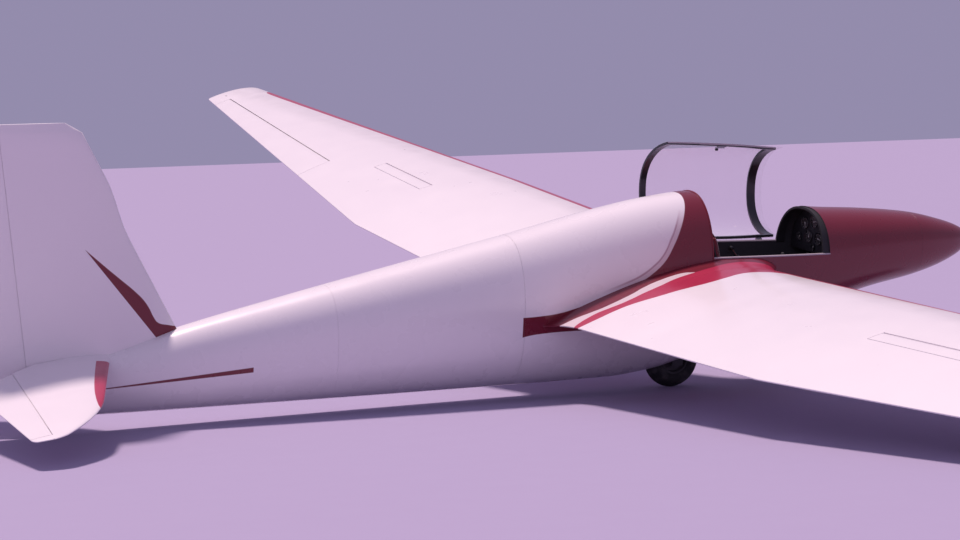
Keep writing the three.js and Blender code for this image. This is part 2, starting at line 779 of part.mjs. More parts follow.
// Fuselage pieces
const canopyParts = makeCanopy();
const mainWell = crossBar(mainWheel.x, wheelWell.halfWidth, mainWheel.radius, wheelWell.radius, wellSteps)
  .add(box(
    mainWheel.x - wheelWell.radius,
    mainWheel.x + wheelWell.radius,
    -wheelWell.halfWidth,
    wheelWell.halfWidth,
    -wheelWell.below,
    mainWheel.radius,
  ));
const rearWell = crossBar(tailWheel.x, tailWell.halfWidth, tailWheel.radius, tailWell.radius, wellSteps);
let shell = fuselage(shellFront, bulkhead)
  .subtract(fuselage(shellFront - wall, bulkhead - overrun, wall))
  .subtract(aboveSill(bulkhead - overrun, deckEdge, 0))
  .subtract(box(bulkhead - overrun, wheelStep.front + seam, -far, far, -far, wheelStep.top + seam));
for (const lug of canopyParts.lugs) shell = shell.add(lug);
const centre = fuselage(wheelStep.front, centreRear)
  .subtract(box(bulkhead - seam, far, -far, far, wheelStep.top, 2 * far))
  .subtract(mainWell);
const tail = fuselage(centreRear - seam, tailEnd).subtract(rearWell);
add('nose_cone', fuselage(noseEnd, shellFront + seam), 'red');
add('cockpit_shell', largest(shell), 'red');
add('centre_fuselage', largest(centre), 'white');
add('tail_cone', largest(tail), 'white');

// Wings and tail surfaces, made for the left side and mirrored for the right. The left root fairing
// leaves room for the canopy's hinges.
const halfWing = makeWing();
const halfTail = makeStabilizer();
const sidePieces = [
  { part: 'wing', from: halfWing, look: 'white' },
  { part: 'aileron', from: halfWing, look: 'white' },
  { part: 'airbrake', from: halfWing, look: 'white' },
  { part: 'wing_root_fairing', from: halfWing, look: 'red' },
  { part: 'tip_skid', from: halfWing, look: 'grey' },
  { part: 'stabilizer', from: halfTail, look: 'white' },
  { part: 'elevator', from: halfTail, look: 'white' },
];
for (const [name, side] of [['left', 1], ['right', -1]]) {
  for (const { part, from, look } of sidePieces) {
    let piece = side > 0 ? from[part] : from[part].mirror([0, 1, 0]);
    if (part === 'wing_root_fairing') {
      for (const room of canopyParts.roomAround) piece = piece.subtract(room);
    }
    add(`${name}_${part}`, piece, look);
    if (from.lines[part]) turnsAbout(`${name}_${part}`, from.lines[part], side);
  }
}
const upright = makeFin();
add('fin', upright.fin, 'white');
add('rudder', upright.rudder, 'white');
turnsAbout('rudder', upright.line);

// Wheels and what carries them
for (const [name, size, steps] of [['main', mainWheel, mainSteps], ['tail', tailWheel, tailSteps]]) {
  const { tyre, hub } = wheel(size, steps);
  add(`${name}_tyre`, tyre, 'tyre');
  add(`${name}_wheel_hub`, hub, 'alloy');
  turnsAbout(`${name}_wheel`, [vec(size.x, -1, size.radius), vec(size.x, 1, size.radius)]);
}
const plateOuter = wheelWell.halfWidth - seam;
const plateInner = plateOuter - axlePlate.thick;
let axle = crossBar(mainWheel.x, plateInner + axlePlate.bite, mainWheel.radius, mainWheel.bore, mainSteps);
for (const [y0, y1] of [[-plateOuter, -plateInner], [plateInner, plateOuter]]) {
  const bottom = mainWheel.radius - axlePlate.below;
  const top = mainWheel.radius + axlePlate.above;
  axle = axle.add(box(mainWheel.x - axlePlate.half, mainWheel.x + axlePlate.half, y0, y1, bottom, top));
}
add('main_axle', axle, 'steel');
const forkTop = tailWheel.radius + tailWell.radius + fork.above;
const forkBox = (y0, y1, bottom) => (
  box(tailWheel.x - fork.half, tailWheel.x + fork.half, y0, y1, bottom, forkTop)
);
const tailFork = forkBox(-fork.outer, -fork.inner, tailWheel.radius - fork.half)
  .add(forkBox(fork.inner, fork.outer, tailWheel.radius - fork.half))
  .add(forkBox(-fork.outer, fork.outer, forkTop - fork.bridge))
  .add(crossBar(tailWheel.x, fork.outer, tailWheel.radius, tailWheel.bore, tailSteps))
  .subtract(tail.translate([0, 0, -seam]));
add('tail_wheel_fork', largest(tailFork), 'steel');

// Canopy, open
add('canopy_frame', canopyParts.frame, 'black');
add('canopy_glass', canopyParts.glass, 'glass');
turnsAbout('canopy', canopyParts.line);

// Cockpit pieces
let pan = insideHull(sheetAlong(seat.line, seat.thickness));
for (const y of [-far, seat.narrow]) {
  pan = pan.subtract(box(0, far, y, y + far - seat.narrow, sill.front - seat.thickness, 2 * far));
}
const floorPlate = insideHull(sheetAlong(floor.line, floor.thickness));
const onPan = (body) => largest(body.subtract(pan.translate([seam, 0, seam])));
const onFloor = (body) => largest(body.subtract(floorPlate.translate([0, 0, seam])));
const midPlane = ([x, z]) => vec(x, 0, z);
add('seat_pan', pan, 'grey');
add('cockpit_floor', floorPlate, 'grey');
for (const [name, { half, outline }] of [['seat_cushion', seatCushion], ['back_cushion', backCushion]]) {
  add(name, onPan(acrossPlate(outline, -half, half)), 'cloth');
}
add('headrest', box(
  bulkhead + seam,
  bulkhead + headrest.depth,
  -headrest.half,
  headrest.half,
  headrest.bottom,
  headrest.top,
), 'red');
const panelBlank = box(panel.x, panel.x + panel.thickness, -far / 2, far / 2, panel.bottom, 2 * far);
add('instrument_panel', insideHull(panelBlank), 'black');
const hood = fuselageSkin(deckEdge - seam, cowl.rear, cowl.inset, cowl.inset + cowl.thickness);
add('glareshield', largest(hood.intersect(aboveSill(cowl.rear, deckEdge, seam))), 'black');
const lever = bar(midPlane(stick.foot), midPlane(stick.neck), stick.radius);
const handle = bar(midPlane(grip.foot), midPlane(grip.top), grip.radius, grip.topRadius);
add('control_stick', onFloor(lever.add(handle)), 'black');
for (const [name, y] of [['left', pedal.inner], ['right', -pedal.inner - pedal.width]]) {
  add(`${name}_rudder_pedal`, onFloor(acrossPlate(pedal.outline, y, y + pedal.width)), 'alloy');
}

// Belly
const hookTop = sectionAt(towHook.x).bottom;
const hook = box(
  towHook.x - towHook.half,
  towHook.x + towHook.half,
  -towHook.halfWidth,
  towHook.halfWidth,
  hookTop - towHook.drop,
  hookTop + towHook.rise,
);
add('tow_hook', largest(hook.subtract(fuselage(shellFront, bulkhead, -seam))), 'steel');

// Scene graph: the airframe, then its parked attitude
const airframe = new THREE.Group();
for (const { name, body, look } of bodies) {
  const material = new THREE.MeshStandardMaterial({ name: look, ...paint[look] });
  const mesh = new THREE.Mesh(geometryOf(body), material);
  mesh.name = name;
  airframe.add(mesh);
}
const glider = new THREE.Group();
glider.add(airframe);
glider.userData.hingeLines = hingeLines;

function lowestPoint(name) {
  const mesh = airframe.getObjectByName(name);
  const position = mesh.geometry.getAttribute('position');
  const lowest = vec(0, 0, Infinity);
  const point = vec(0, 0, 0);
  for (let i = 0; i < position.count; i++) {
    point.fromBufferAttribute(position, i).applyMatrix4(mesh.matrixWorld);
    if (point.z < lowest.z) lowest.copy(point);
  }
  return lowest;
}

// Turns the airframe until the three feet stand on one level floor
function restOnGround(feet) {
  const passes = 20;
  for (let pass = 0; pass < passes; pass++) {
    glider.updateMatrixWorld(true);
    const [first, second, third] = feet.map(lowestPoint);
    const normal = second.clone().sub(first).cross(third.clone().sub(first)).normalize();
    if (normal.z < 0) normal.negate();
    airframe.quaternion.premultiply(new THREE.Quaternion().setFromUnitVectors(normal, upward));
  }
  glider.updateMatrixWorld(true);
  const bounds = new THREE.Box3().setFromObject(glider, true);
  airframe.position.set(
    -(bounds.min.x + bounds.max.x) / 2,
    -(bounds.min.y + bounds.max.y) / 2,
    -bounds.min.z,
  );
}
restOnGround(['main_tyre', 'tail_tyre', 'right_tip_skid']);

export default glider;
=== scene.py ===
"""The looks of a parked single-seat sailplane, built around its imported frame.

Shapes are worked out in the airframe's own level frame, in metres: +X to the nose, +Y to the
left wing, +Z up, with the main wheel's lowest point at the origin. Each finished mesh is then
turned into the parked attitude, with its right wing tip on the ground.
"""
import json
import math

import bmesh
import bpy
from bpy.props import FloatProperty, FloatVectorProperty, IntProperty
from mathutils import Matrix, Vector


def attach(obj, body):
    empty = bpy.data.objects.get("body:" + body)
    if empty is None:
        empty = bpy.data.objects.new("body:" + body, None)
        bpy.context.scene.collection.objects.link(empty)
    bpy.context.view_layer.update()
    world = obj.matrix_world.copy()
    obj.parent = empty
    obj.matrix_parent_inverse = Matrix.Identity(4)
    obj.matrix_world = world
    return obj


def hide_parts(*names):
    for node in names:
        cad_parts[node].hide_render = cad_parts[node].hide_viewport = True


bl_info = {
    "name": "Parked Sailplane",
    "version": (1, 0, 0),
    "blender": (4, 5, 0),
    "location": "3D View > Sidebar > Sailplane",
    "description": "Builds the skins, cockpit, canopy and paint of a parked single-seat sailplane",
    "category": "Add Mesh",
}

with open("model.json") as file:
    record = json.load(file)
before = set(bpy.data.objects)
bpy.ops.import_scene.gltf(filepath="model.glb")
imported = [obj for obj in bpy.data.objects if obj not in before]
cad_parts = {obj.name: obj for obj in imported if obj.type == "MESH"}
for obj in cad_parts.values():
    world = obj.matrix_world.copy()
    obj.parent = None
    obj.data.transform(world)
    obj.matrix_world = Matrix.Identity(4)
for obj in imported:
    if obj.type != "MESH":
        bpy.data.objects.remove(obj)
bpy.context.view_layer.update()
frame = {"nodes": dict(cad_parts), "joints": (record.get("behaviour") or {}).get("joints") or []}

# Fuselage
NOSE_END = 2.16
NOSE_JOINT = 1.68
NOSE_ROUND = 1.92  # where the parabola of its tip begins
NOSE_RISE = 0.009
DECK_EDGE = 0.985  # where the sill line ends
DECK_REAR = 0.942  # rear edge of the nose deck
BULKHEAD = 0.1  # front face of the turtle deck
WELL_FRONT = 0.235
WELL_STEP = 0.425  # how high the wheel box reaches under the seat
CONE_JOINT = -1.15
TAIL_END = -4.005
SILL_REAR = 0.848
SILL_FRONT = 0.83
SILL_NORMAL = Vector((SILL_REAR - SILL_FRONT, 0, DECK_EDGE - BULKHEAD)).normalized()
SILL_TRIM_HEIGHT = 0.0045
SKIN = 0.014
ROUNDNESS = 2.3  # of a fuselage section; 2 is an ellipse
RING = 96  # points round a section
STATIONS = [  # x, top, bottom, half width
    (2.16, 0.856, 0.812, 0.022),
    (2.09, 0.904, 0.757, 0.076),
    (1.92, 0.970, 0.680, 0.152),
    (1.68, 1.024, 0.618, 0.214),
    (1.35, 1.058, 0.560, 0.262),
    (0.96, 1.084, 0.458, 0.290),
    (0.52, 1.188, 0.322, 0.310),
    (0.10, 1.218, 0.205, 0.318),
    (-0.20, 1.190, 0.130, 0.318),
    (-0.50, 1.140, 0.102, 0.312),
    (-1.15, 1.000, 0.098, 0.290),
    (-1.73, 0.880, 0.098, 0.262),
    (-2.56, 0.706, 0.100, 0.208),
    (-3.16, 0.572, 0.102, 0.158),
    (-3.65, 0.440, 0.105, 0.112),
    (-4.005, 0.376, 0.122, 0.068),
]

# Wing
WING_ROOT = 0.36
WING_JOINT = 0.54  # where the root fairing ends
WING_KINK = 2.7
WING_TIP = 7.4
WING_END = 7.5
ROOT_CHORD = 1.4
KINK_CHORD = 1.33
TIP_CHORD = 0.46
WING_LEAD = 0.45
WING_HEIGHT = 0.65
WING_SWEEP = math.radians(3.7)
WING_DIHEDRAL = math.radians(3.5)
WING_INCIDENCE = math.radians(9.3)
WING_PIVOT = 0.4
WING_THICKNESS = 0.145
TIP_THICKNESS = 0.12
WING_CAMBER = 0.025
WING_EDGE = 0.003
WING_TIP_CHORD = 0.6  # share of the chord that is left at the end of the rounded tip
WING_TIP_THIN = 0.3  # share of the thickness that is left there
WING_TIP_AHEAD = 0.35  # share of the lost chord that the leading edge gives up
AILERON_SPAN = (4.3, 7.15)
AILERON_HINGE = 0.75
BRAKE_SPAN = (2.85, 3.75)
BRAKE_HINGE = 0.5
BRAKE_REACH = 0.092
BRAKE_DEPTH = 0.015
BRAKE_BELOW = 0.008
BRAKE_RADIUS = 0.007
FAIRING = [  # y, reach ahead, reach behind, extra thickness
    (0.25, 0.150, 0.130, 0.070),
    (0.33, 0.090, 0.070, 0.034),
    (0.42, 0.030, 0.022, 0.010),
    (0.54, 0.0, 0.0, 0.0),
]
SKID_AT = 7.3
SKID_LENGTH = 0.23
SKID_WIDTH = 0.026
SKID_DEPTH = 0.1
SKID_OUTLINE = [(0.5, 0.0), (0.36, 0.72), (0.16, 0.98), (-0.1, 1.0), (-0.4, 0.62), (-0.5, 0.16)]

# Tail
FIN_LEVELS = [  # z, leading edge, trailing edge, share of the full thickness
    (0.165, -2.935, -4.438, 0.7),
    (1.690, -3.735, -4.505, 1.0),
    (1.745, -3.830, -4.500, 0.55),
]
FIN_BEND = 1.43  # below it the leading edge lies further back
FIN_BEND_RUN = 0.34
FIN_SETBACK = 0.05
FIN_THICKNESS = 0.068
FIN_EDGE = 0.002
RUDDER_FOOT = (-4.042, 0.13)
RUDDER_TOP = (-4.22, 1.79)
TAIL_ROOT = 0.06
TAIL_ROOT_LEAD = -3.6
TAIL_TIP = 1.45
TAIL_TIP_LEAD = -4.065
TAIL_SPAN = 1.5
TAIL_TRAIL = -4.42
TAIL_HEIGHT = 0.428
TAIL_INCIDENCE = math.radians(6)
TAIL_THICKNESS = 0.09
TAIL_EDGE = 0.002
TAIL_BEND = (0.9, 0.54, 0.15, 2.2)  # y where the leading edge bends, run, setback and power
TAIL_TIP_SETBACK = 0.055  # of the rounded tip's leading edge
TAIL_TIP_DRAWN = 0.03  # how far its trailing edge comes forward
TAIL_TIP_THIN = 0.6  # share of the thickness that is lost there
ELEVATOR_SPAN = (0.07, 1.44)
ELEVATOR_HINGE = (-4.165, -4.315)
RUDDER_ROOM = (-4.042, 0.036, 0.62)  # where it starts, half width there, growth behind it

# Wheels
WHEEL_RADIUS = 0.18
TREAD_WEAR = 0.0012  # so that the tread stands on the floor
TREAD_GROOVE = 0.004
TAIL_GROOVE = 0.0015
WHEEL_HALF = 0.064
WHEEL_RIM = 0.092
WHEEL_BORE = 0.012
TAIL_WHEEL_X = -3.9
TAIL_WHEEL_RADIUS = 0.07
TAIL_WHEEL_HALF = 0.021
TAIL_WHEEL_RIM = 0.034
TAIL_WHEEL_BORE = 0.005
WELL_HALF_LENGTH = 0.205
WELL_HALF_WIDTH = 0.086
WELL_TOP = 0.385
TAIL_WELL_HALF_LENGTH = 0.078
TAIL_WELL_HALF_WIDTH = 0.036
TAIL_WELL_TOP = 0.165

# Canopy
CANOPY_REAR = 0.106
CANOPY_FRONT = 0.934
CANOPY_OVERHANG = 0.048
CANOPY_LIFT = 0.006  # above the sill
GLASS = 0.004
FRAME_DEPTH = 0.016
REAR_HOOP = 0.042
FRONT_HOOP = 0.052
RAIL_HEIGHT = 0.024
COWL_FRONT = 0.952
COWL_TOP_REAR = 0.908
COWL_FOOT_REAR = 0.89
COWL_SUNK = 0.0065  # under the skin, where the canopy closes over it
COWL_THICKNESS = 0.014
COWL_FOOT_ANGLE = math.asin(0.02)
SEAL_DEPTH = 0.0014
LATCH_AT = 0.5  # x on the right rail
HINGES_AT = (0.2, 0.78)  # x on the left sill
HINGE_OUT = 0.005  # of the skin, at the sill
HINGE_UP = 0.007

# Cockpit
PANEL_X = 1.0
PANEL_BOTTOM = 0.79
PANEL_THICKNESS = 0.005
DIALS = [  # y, z, radius
    (0.0, 0.985, 0.040), (0.105, 0.965, 0.040), (-0.105, 0.965, 0.040), (0.055, 0.885, 0.040),
    (-0.055, 0.885, 0.040), (0.165, 0.872, 0.029), (-0.165, 0.872, 0.029), (0.0, 0.825, 0.022),
]
STICK_FOOT = Vector((0.866, 0, 0.512))
STICK_NECK = Vector((0.8, 0, 0.7))
STICK_RAISED = 0.09  # share of its length by which the tube starts above its foot
GRIP_FOOT = Vector((0.804, 0, 0.69))  # a little below the end of the tube
GRIP_TOP = Vector((0.775, 0, 0.8))
LEVERS = [  # name, side, x, z
    ("airbrake_lever", 1, 0.62, 0.735),
    ("trim_lever", 1, 0.45, 0.69),
    ("tow_release", -1, 0.86, 0.76),
]
LEVER_ARM = Vector((-0.05, 0, 0.055))
HEADREST_FRONT = 0.152
HEADREST_HALF_WIDTH = 0.105
HEADREST_HALF_HEIGHT = 0.05
HEADREST_MIDDLE = 1.058
SEAT_OUTLINE = [  # x, z of the seat cushion's side
    (0.338, 0.499), (0.42, 0.492), (0.56, 0.506), (0.674, 0.533),
    (0.682, 0.503), (0.56, 0.472), (0.41, 0.455), (0.34, 0.468),
]
BACK_OUTLINE = [  # x, z of the back cushion's side
    (0.19, 0.952), (0.209, 0.858), (0.283, 0.628), (0.31, 0.566),
    (0.288, 0.545), (0.246, 0.565), (0.156, 0.852), (0.132, 0.952),
]
CUSHIONS = [  # name, node it stands for, outline, half width, how far it may swell
    ("seat_pad", "seat_cushion", SEAT_OUTLINE, 0.188, 0.012),
    ("back_pad", "back_cushion", BACK_OUTLINE, 0.183, 0.014),
]
CHANNELS = (-0.12, -0.04, 0.04, 0.12)
CHANNEL_DEPTH = 0.0045
CHANNEL_WIDTH = 0.0045
CLOTH_FRAMES = 20  # how long a cushion swells
CLOTH_PRESSURE = 4
VOXEL = 0.0055  # of a cushion's mesh
STRAP_THICKNESS = 0.0022
STRAP_APART = 0.07  # from the middle, where a shoulder strap reaches the chest
SHOULDER_STRAP = [  # x, share of that distance, z
    (0.08, 1.5, 1.0), (0.16, 1.45, 0.99), (0.226, 1.35, 0.925), (0.262, 1.2, 0.82),
    (0.318, 1.0, 0.69), (0.358, 0.9, 0.60), (0.41, 0.55, 0.556),
]
LAP_STRAP = [  # x, distance from the middle, z
    (0.33, 0.232, 0.482), (0.335, 0.216, 0.507), (0.35, 0.18, 0.531),
    (0.375, 0.13, 0.546), (0.405, 0.08, 0.554), (0.425, 0.035, 0.556),
]
ADJUSTER = (0.285, 0.083, 0.765)
BUCKLE = (0.432, 0, 0.553)

# Stage
FLOOR_SIZE = 400
AMBIENT_STRENGTH = 0.46
LAMPS = [  # name, direction it comes from, strength, colour, softness in degrees
    ("key", (-3, 7, 26), 3.6, (1.0, 0.81, 0.78), 9),
    ("fill", (-16, -22, 12), 0.16, (0.86, 0.82, 1.0), 40),
]
CAMERA_PLACE = Vector((-6.4475, -13.6965, 1.52))
CAMERA_HEADING = math.radians(65.34)
CAMERA_PITCH = math.radians(-2.76)
CAMERA_ROLL = math.radians(-1.98)
CAMERA_LENS = 95.7
CAMERA_SENSOR = 36
CAMERA_REACH = 2000

GAP = 0.004  # round a moving surface, where skins meet
HAIR = 0.0004


def parked_attitude():
    """The airframe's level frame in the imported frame, from the axis of the main wheel."""
    joint = next(j for j in frame["joints"] if j["name"] == "main_wheel_spin")
    left = Vector(joint["axis"]).normalized()
    ahead = (Vector((1, 0, 0)) - left * left.x).normalized()
    up = ahead.cross(left)
    turned = Matrix((ahead, left, up)).transposed().to_4x4()
    turned.translation = Vector(joint["pos_m"]) - up * WHEEL_RADIUS
    return turned


PARKED = parked_attitude()


def canopy_swing():
    """The turn from closed to open, about the canopy's hinge."""
    joint = next(j for j in frame["joints"] if j["name"] == "canopy_hinge")
    place = Matrix.Translation(joint["pos_m"])
    turn = Matrix.Rotation(math.radians(-joint["range_deg"][1]), 4, Vector(joint["axis"]))
    return place @ turn @ place.inverted()


OPENED = canopy_swing() @ PARKED


# Curves and sections

def smooth_at(places, values, x):
    """A smooth curve through values at rising places, which never swings past them."""
    if x <= places[0]:
        return values[0]
    if x >= places[-1]:
        return values[-1]
    k = max(i for i, place in enumerate(places[:-1]) if place <= x)
    runs = [b - a for a, b in zip(places, places[1:])]
    slopes = [(b - a) / run for a, b, run in zip(values, values[1:], runs)]

    def tangent(i):
        if i == 0 or i == len(places) - 1:
            return slopes[0 if i == 0 else -1]
        before, after = slopes[i - 1], slopes[i]
        return 0.0 if before * after <= 0 else 2 * before * after / (before + after)

    t = (x - places[k]) / runs[k]
    rise = 3 * t * t - 2 * t ** 3
    return (
        values[k] * (1 - rise)
        + values[k + 1] * rise
        + runs[k] * tangent(k) * (t - 2 * t * t + t ** 3)
        + runs[k] * tangent(k + 1) * (t ** 3 - t * t)
    )


RISING = sorted(STATIONS)
STATION_X = [s[0] for s in RISING]


def section_at(x):
    """Top, bottom and half width of the fuselage."""
    return [smooth_at(STATION_X, [s[k] for s in RISING], x) for k in (1, 2, 3)]


def hull_point(x, angle, inset=0.0):
    """A point of the fuselage's skin, at an angle from the left side over the top."""
    top, bottom, half = section_at(x)
    c, s = math.cos(angle), math.sin(angle)
    power = 2 / ROUNDNESS
    y = (half - inset) * math.copysign(abs(c) ** power, c)
    z = (top + bottom) / 2 + ((top - bottom) / 2 - inset) * math.copysign(abs(s) ** power, s)
    return Vector((x, y, z))


def half_width(x, z, inset=0.0):
    """Half the fuselage's width at a height."""
    top, bottom, half = section_at(x)
    share = min(abs((z - (top + bottom) / 2) / ((top - bottom) / 2 - inset)), 1)
    return (half - inset) * (1 - share ** ROUNDNESS) ** (1 / ROUNDNESS)


def sill_at(x):
    return SILL_REAR + (SILL_FRONT - SILL_REAR) * (x - BULKHEAD) / (DECK_EDGE - BULKHEAD)


def steps(start, stop, size):
    """Even places from start to stop, no further apart than size."""
    count = max(1, math.ceil(abs(stop - start) / size))
    return [start + (stop - start) * i / count for i in range(count + 1)]


class Section:
    """One section of a wing or a tail surface."""

    def __init__(self, nose, chord, back, up, thickness, edge, camber=0.0):
        self.nose, self.chord, self.back, self.up = nose, chord, back, up
        self.thickness, self.edge, self.camber = thickness, edge, camber

    def half(self, share):
        """Half the thickness at a share of the chord, in metres."""
        x = max(share, 0.0)
        curve = 0.2969 * math.sqrt(x) - 0.126 * x - 0.3516 * x * x + 0.2843 * x ** 3 - 0.1036 * x ** 4
        return 5 * self.thickness * self.chord * curve + self.edge * x

    def point(self, share, side, lift=0.0):
        """A point on the upper side (1), the lower side (-1) or between them (0)."""
        rise = 4 * self.camber * share * (1 - share) * self.chord + side * self.half(share) + lift
        return self.nose + self.back * (share * self.chord) + self.up * rise

    def around(self, centre, radius, angle):
        """A point at a distance from a centre, at an angle from straight ahead over the top."""
        return centre + self.up * (radius * math.sin(angle)) - self.back * (radius * math.cos(angle))


def tilted(angle):
    back = Vector((-math.cos(angle), 0, -math.sin(angle)))
    up = Vector((-math.sin(angle), 0, math.cos(angle)))
    return back, up


def wing_chord(y):
    if y < WING_KINK:
        return ROOT_CHORD + (KINK_CHORD - ROOT_CHORD) * (y - WING_ROOT) / (WING_KINK - WING_ROOT)
    return KINK_CHORD + (TIP_CHORD - KINK_CHORD) * (y - WING_KINK) / (WING_END - WING_KINK)


def wing_section(y, front=0.0, rear=0.0, thick=0.0):
    full = wing_chord(y)
    round_off = max(y - WING_TIP, 0) / (WING_END - WING_TIP)
    curve = math.sqrt(max(1 - round_off ** 2, 0))
    shrink = WING_TIP_CHORD + (1 - WING_TIP_CHORD) * curve
    thin = WING_TIP_THIN + (1 - WING_TIP_THIN) * curve
    back, up = tilted(WING_INCIDENCE)
    out = y - WING_ROOT
    lead = WING_LEAD - out * math.tan(WING_SWEEP)
    pivot = Vector((lead - WING_PIVOT * full, y, WING_HEIGHT + out * math.tan(WING_DIHEDRAL)))
    ahead = WING_PIVOT * full + front - full * (1 - shrink) * WING_TIP_AHEAD
    share = max(out / (WING_END - WING_ROOT), 0)
    ratio = WING_THICKNESS + (TIP_THICKNESS - WING_THICKNESS) * share
    chord = full * shrink + front + rear
    thickness = (ratio * full * shrink * thin + thick) / chord
    return Section(pivot - back * ahead, chord, back, up, thickness, WING_EDGE * thin, WING_CAMBER)


def fin_section(z):
    rising = [level[0] for level in FIN_LEVELS]
    low, high = FIN_LEVELS[:2] if z <= rising[1] else FIN_LEVELS[1:]
    t = (z - low[0]) / (high[0] - low[0])
    lead, trail, thin = (low[k] + (high[k] - low[k]) * t for k in (1, 2, 3))
    rise = min(max((FIN_BEND - z) / FIN_BEND_RUN, 0), 1)
    lead -= FIN_SETBACK * rise * rise * (3 - 2 * rise)
    chord = lead - trail
    nose = Vector((lead, 0, z))
    return Section(nose, chord, Vector((-1, 0, 0)), Vector((0, 1, 0)), FIN_THICKNESS * thin, FIN_EDGE)


def tail_height(x):
    return TAIL_HEIGHT - (TAIL_ROOT_LEAD - x) * math.tan(TAIL_INCIDENCE)


def tail_section(y):
    back, up = tilted(TAIL_INCIDENCE)
    lead = TAIL_ROOT_LEAD + (TAIL_TIP_LEAD - TAIL_ROOT_LEAD) * (y - TAIL_ROOT) / (TAIL_TIP - TAIL_ROOT)
    round_off = max(y - TAIL_TIP, 0) / (TAIL_SPAN - TAIL_TIP)
    drawn = 1 - math.sqrt(max(1 - round_off ** 2, 0))
    bend, run, setback, power = TAIL_BEND
    lead -= TAIL_TIP_SETBACK * drawn + setback * max((y - bend) / run, 0) ** power
    trail = TAIL_TRAIL + TAIL_TIP_DRAWN * drawn
    thin = TAIL_THICKNESS * (1 - TAIL_TIP_THIN * drawn)
    chord = (lead - trail) / math.cos(TAIL_INCIDENCE)
    return Section(Vector((lead, y, tail_height(lead))), chord, back, up, thin, TAIL_EDGE)


def tail_hinge_share(y):
    inner, outer = ELEVATOR_HINGE
    x = inner + (outer - inner) * (y - TAIL_ROOT) / (TAIL_TIP - TAIL_ROOT)
    section = tail_section(y)
    return (section.nose.x - x) / math.cos(TAIL_INCIDENCE) / section.chord


def fin_hinge_share(z):
    t = (z - RUDDER_FOOT[1]) / (RUDDER_TOP[1] - RUDDER_FOOT[1])
    section = fin_section(z)
    return (section.nose.x - RUDDER_FOOT[0] - (RUDDER_TOP[0] - RUDDER_FOOT[0]) * t) / section.chord


# Shader maths

class Value:
    """A value in a shader. Sums on it add Math nodes."""

    def __init__(self, paint, socket):
        self.paint, self.socket = paint, socket

    def math(self, operation, *values):
        return self.paint.node("ShaderNodeMath", {"operation": operation}, values)

    def __add__(self, other):
        return self.math("ADD", self, other)

    __radd__ = __add__

    def __sub__(self, other):
        return self.math("SUBTRACT", self, other)

    def __rsub__(self, other):
        return self.math("SUBTRACT", other, self)

    def __mul__(self, other):
        return self.math("MULTIPLY", self, other)

    __rmul__ = __mul__

    def __truediv__(self, other):
        return self.math("DIVIDE", self, other)

    def __abs__(self):
        return self.math("ABSOLUTE", self)

    def over(self, limit, blur=0.0015):
        """1 where the value is over the limit and 0 under it, with a narrow soft edge."""
        return self.math("ADD", (self - limit) / (2 * blur), 0.5).clamped()

    def under(self, limit, blur=0.0015):
        return 1 - self.over(limit, blur)

    def clamped(self):
        self.socket.node.use_clamp = True
        return self

    def wave(self, pitch):
        """0 to 1 and back, once in each pitch."""
        return abs(self.math("PINGPONG", self, pitch / 2)) * (2 / pitch)


class Paint:
    """A procedural material. Its node method makes any node."""

    def __init__(self, name):
        self.material = bpy.data.materials.new(name)
        self.material.use_nodes = True
        self.tree = self.material.node_tree
        self.shader = self.tree.nodes["Principled BSDF"]

    def node(self, kind, settings=None, inputs=(), output=0):
        made = self.tree.nodes.new(kind)
        for key, value in (settings or {}).items():
            setattr(made, key, value)
        pairs = inputs.items() if isinstance(inputs, dict) else enumerate(inputs)
        for key, value in pairs:
            if isinstance(value, Value):
                self.tree.links.new(value.socket, made.inputs[key])
            else:
                made.inputs[key].default_value = value
        return Value(self, made.outputs[output])

    def coordinates(self):
        return self.node("ShaderNodeTexCoord", output="Object")

    def level_point(self):
        """The point in the airframe's level frame."""
        back = PARKED.inverted()
        turn = {"Vector": self.coordinates(), "Location": back.translation, "Rotation": back.to_euler()}
        return self.node("ShaderNodeMapping", {"vector_type": "POINT"}, turn)

    def axes(self, point):
        return [self.node("ShaderNodeSeparateXYZ", None, [point], k) for k in range(3)]

    def noise(self, point, scale, detail=3.0):
        return self.node("ShaderNodeTexNoise", None, {"Vector": point, "Scale": scale, "Detail": detail})

    def mix(self, share, first, second):
        return self.node("ShaderNodeMix", {"data_type": "RGBA"}, {0: share, 6: first, 7: second}, 2)

    def curve(self, value, points):
        """A smooth curve through points, read at value."""
        low, high = points[0][0], points[-1][0]
        least = min(p[1] for p in points)
        most = max(p[1] for p in points)
        read = self.node("ShaderNodeFloatCurve", None, {1: ((value - low) / (high - low)).clamped()})
        line = read.socket.node.mapping.curves[0].points
        for k, (x, y) in enumerate(points):
            place = ((x - low) / (high - low), (y - least) / (most - least))
            if k in (0, len(points) - 1):
                line[0 if k == 0 else len(line) - 1].location = place
            else:
                line.new(*place)
        read.socket.node.mapping.update()
        return read * (most - least) + least

    def bump(self, height, distance):
        """Height from 0 to 1 over a distance in metres."""
        raised = {"Strength": 1.0, "Distance": distance, "Height": height}
        self.shader_input("Normal", self.node("ShaderNodeBump", None, raised))

    def shader_input(self, name, value):
        if isinstance(value, Value):
            self.tree.links.new(value.socket, self.shader.inputs[name])
        else:
            self.shader.inputs[name].default_value = value

    def finish(self, **inputs):
        for name, value in inputs.items():
            self.shader_input(name.replace("_", " ").title().replace("Ior", "IOR"), value)
        return self.material


def rgba(colour, shade=1.0):
    return (colour[0] * shade, colour[1] * shade, colour[2] * shade, 1.0)


PAINTS = {}


def painted(paint):
    """The material of a maker function, or of a name in FINISHES, made once."""
    if paint not in PAINTS:
        PAINTS[paint] = simple_finish(paint) if paint in FINISHES else paint()
    return PAINTS[paint]


def looks():
    return bpy.context.scene.sailplane_looks


def sizes():
    return bpy.context.scene.sailplane_sizes


# Paint of the airframe

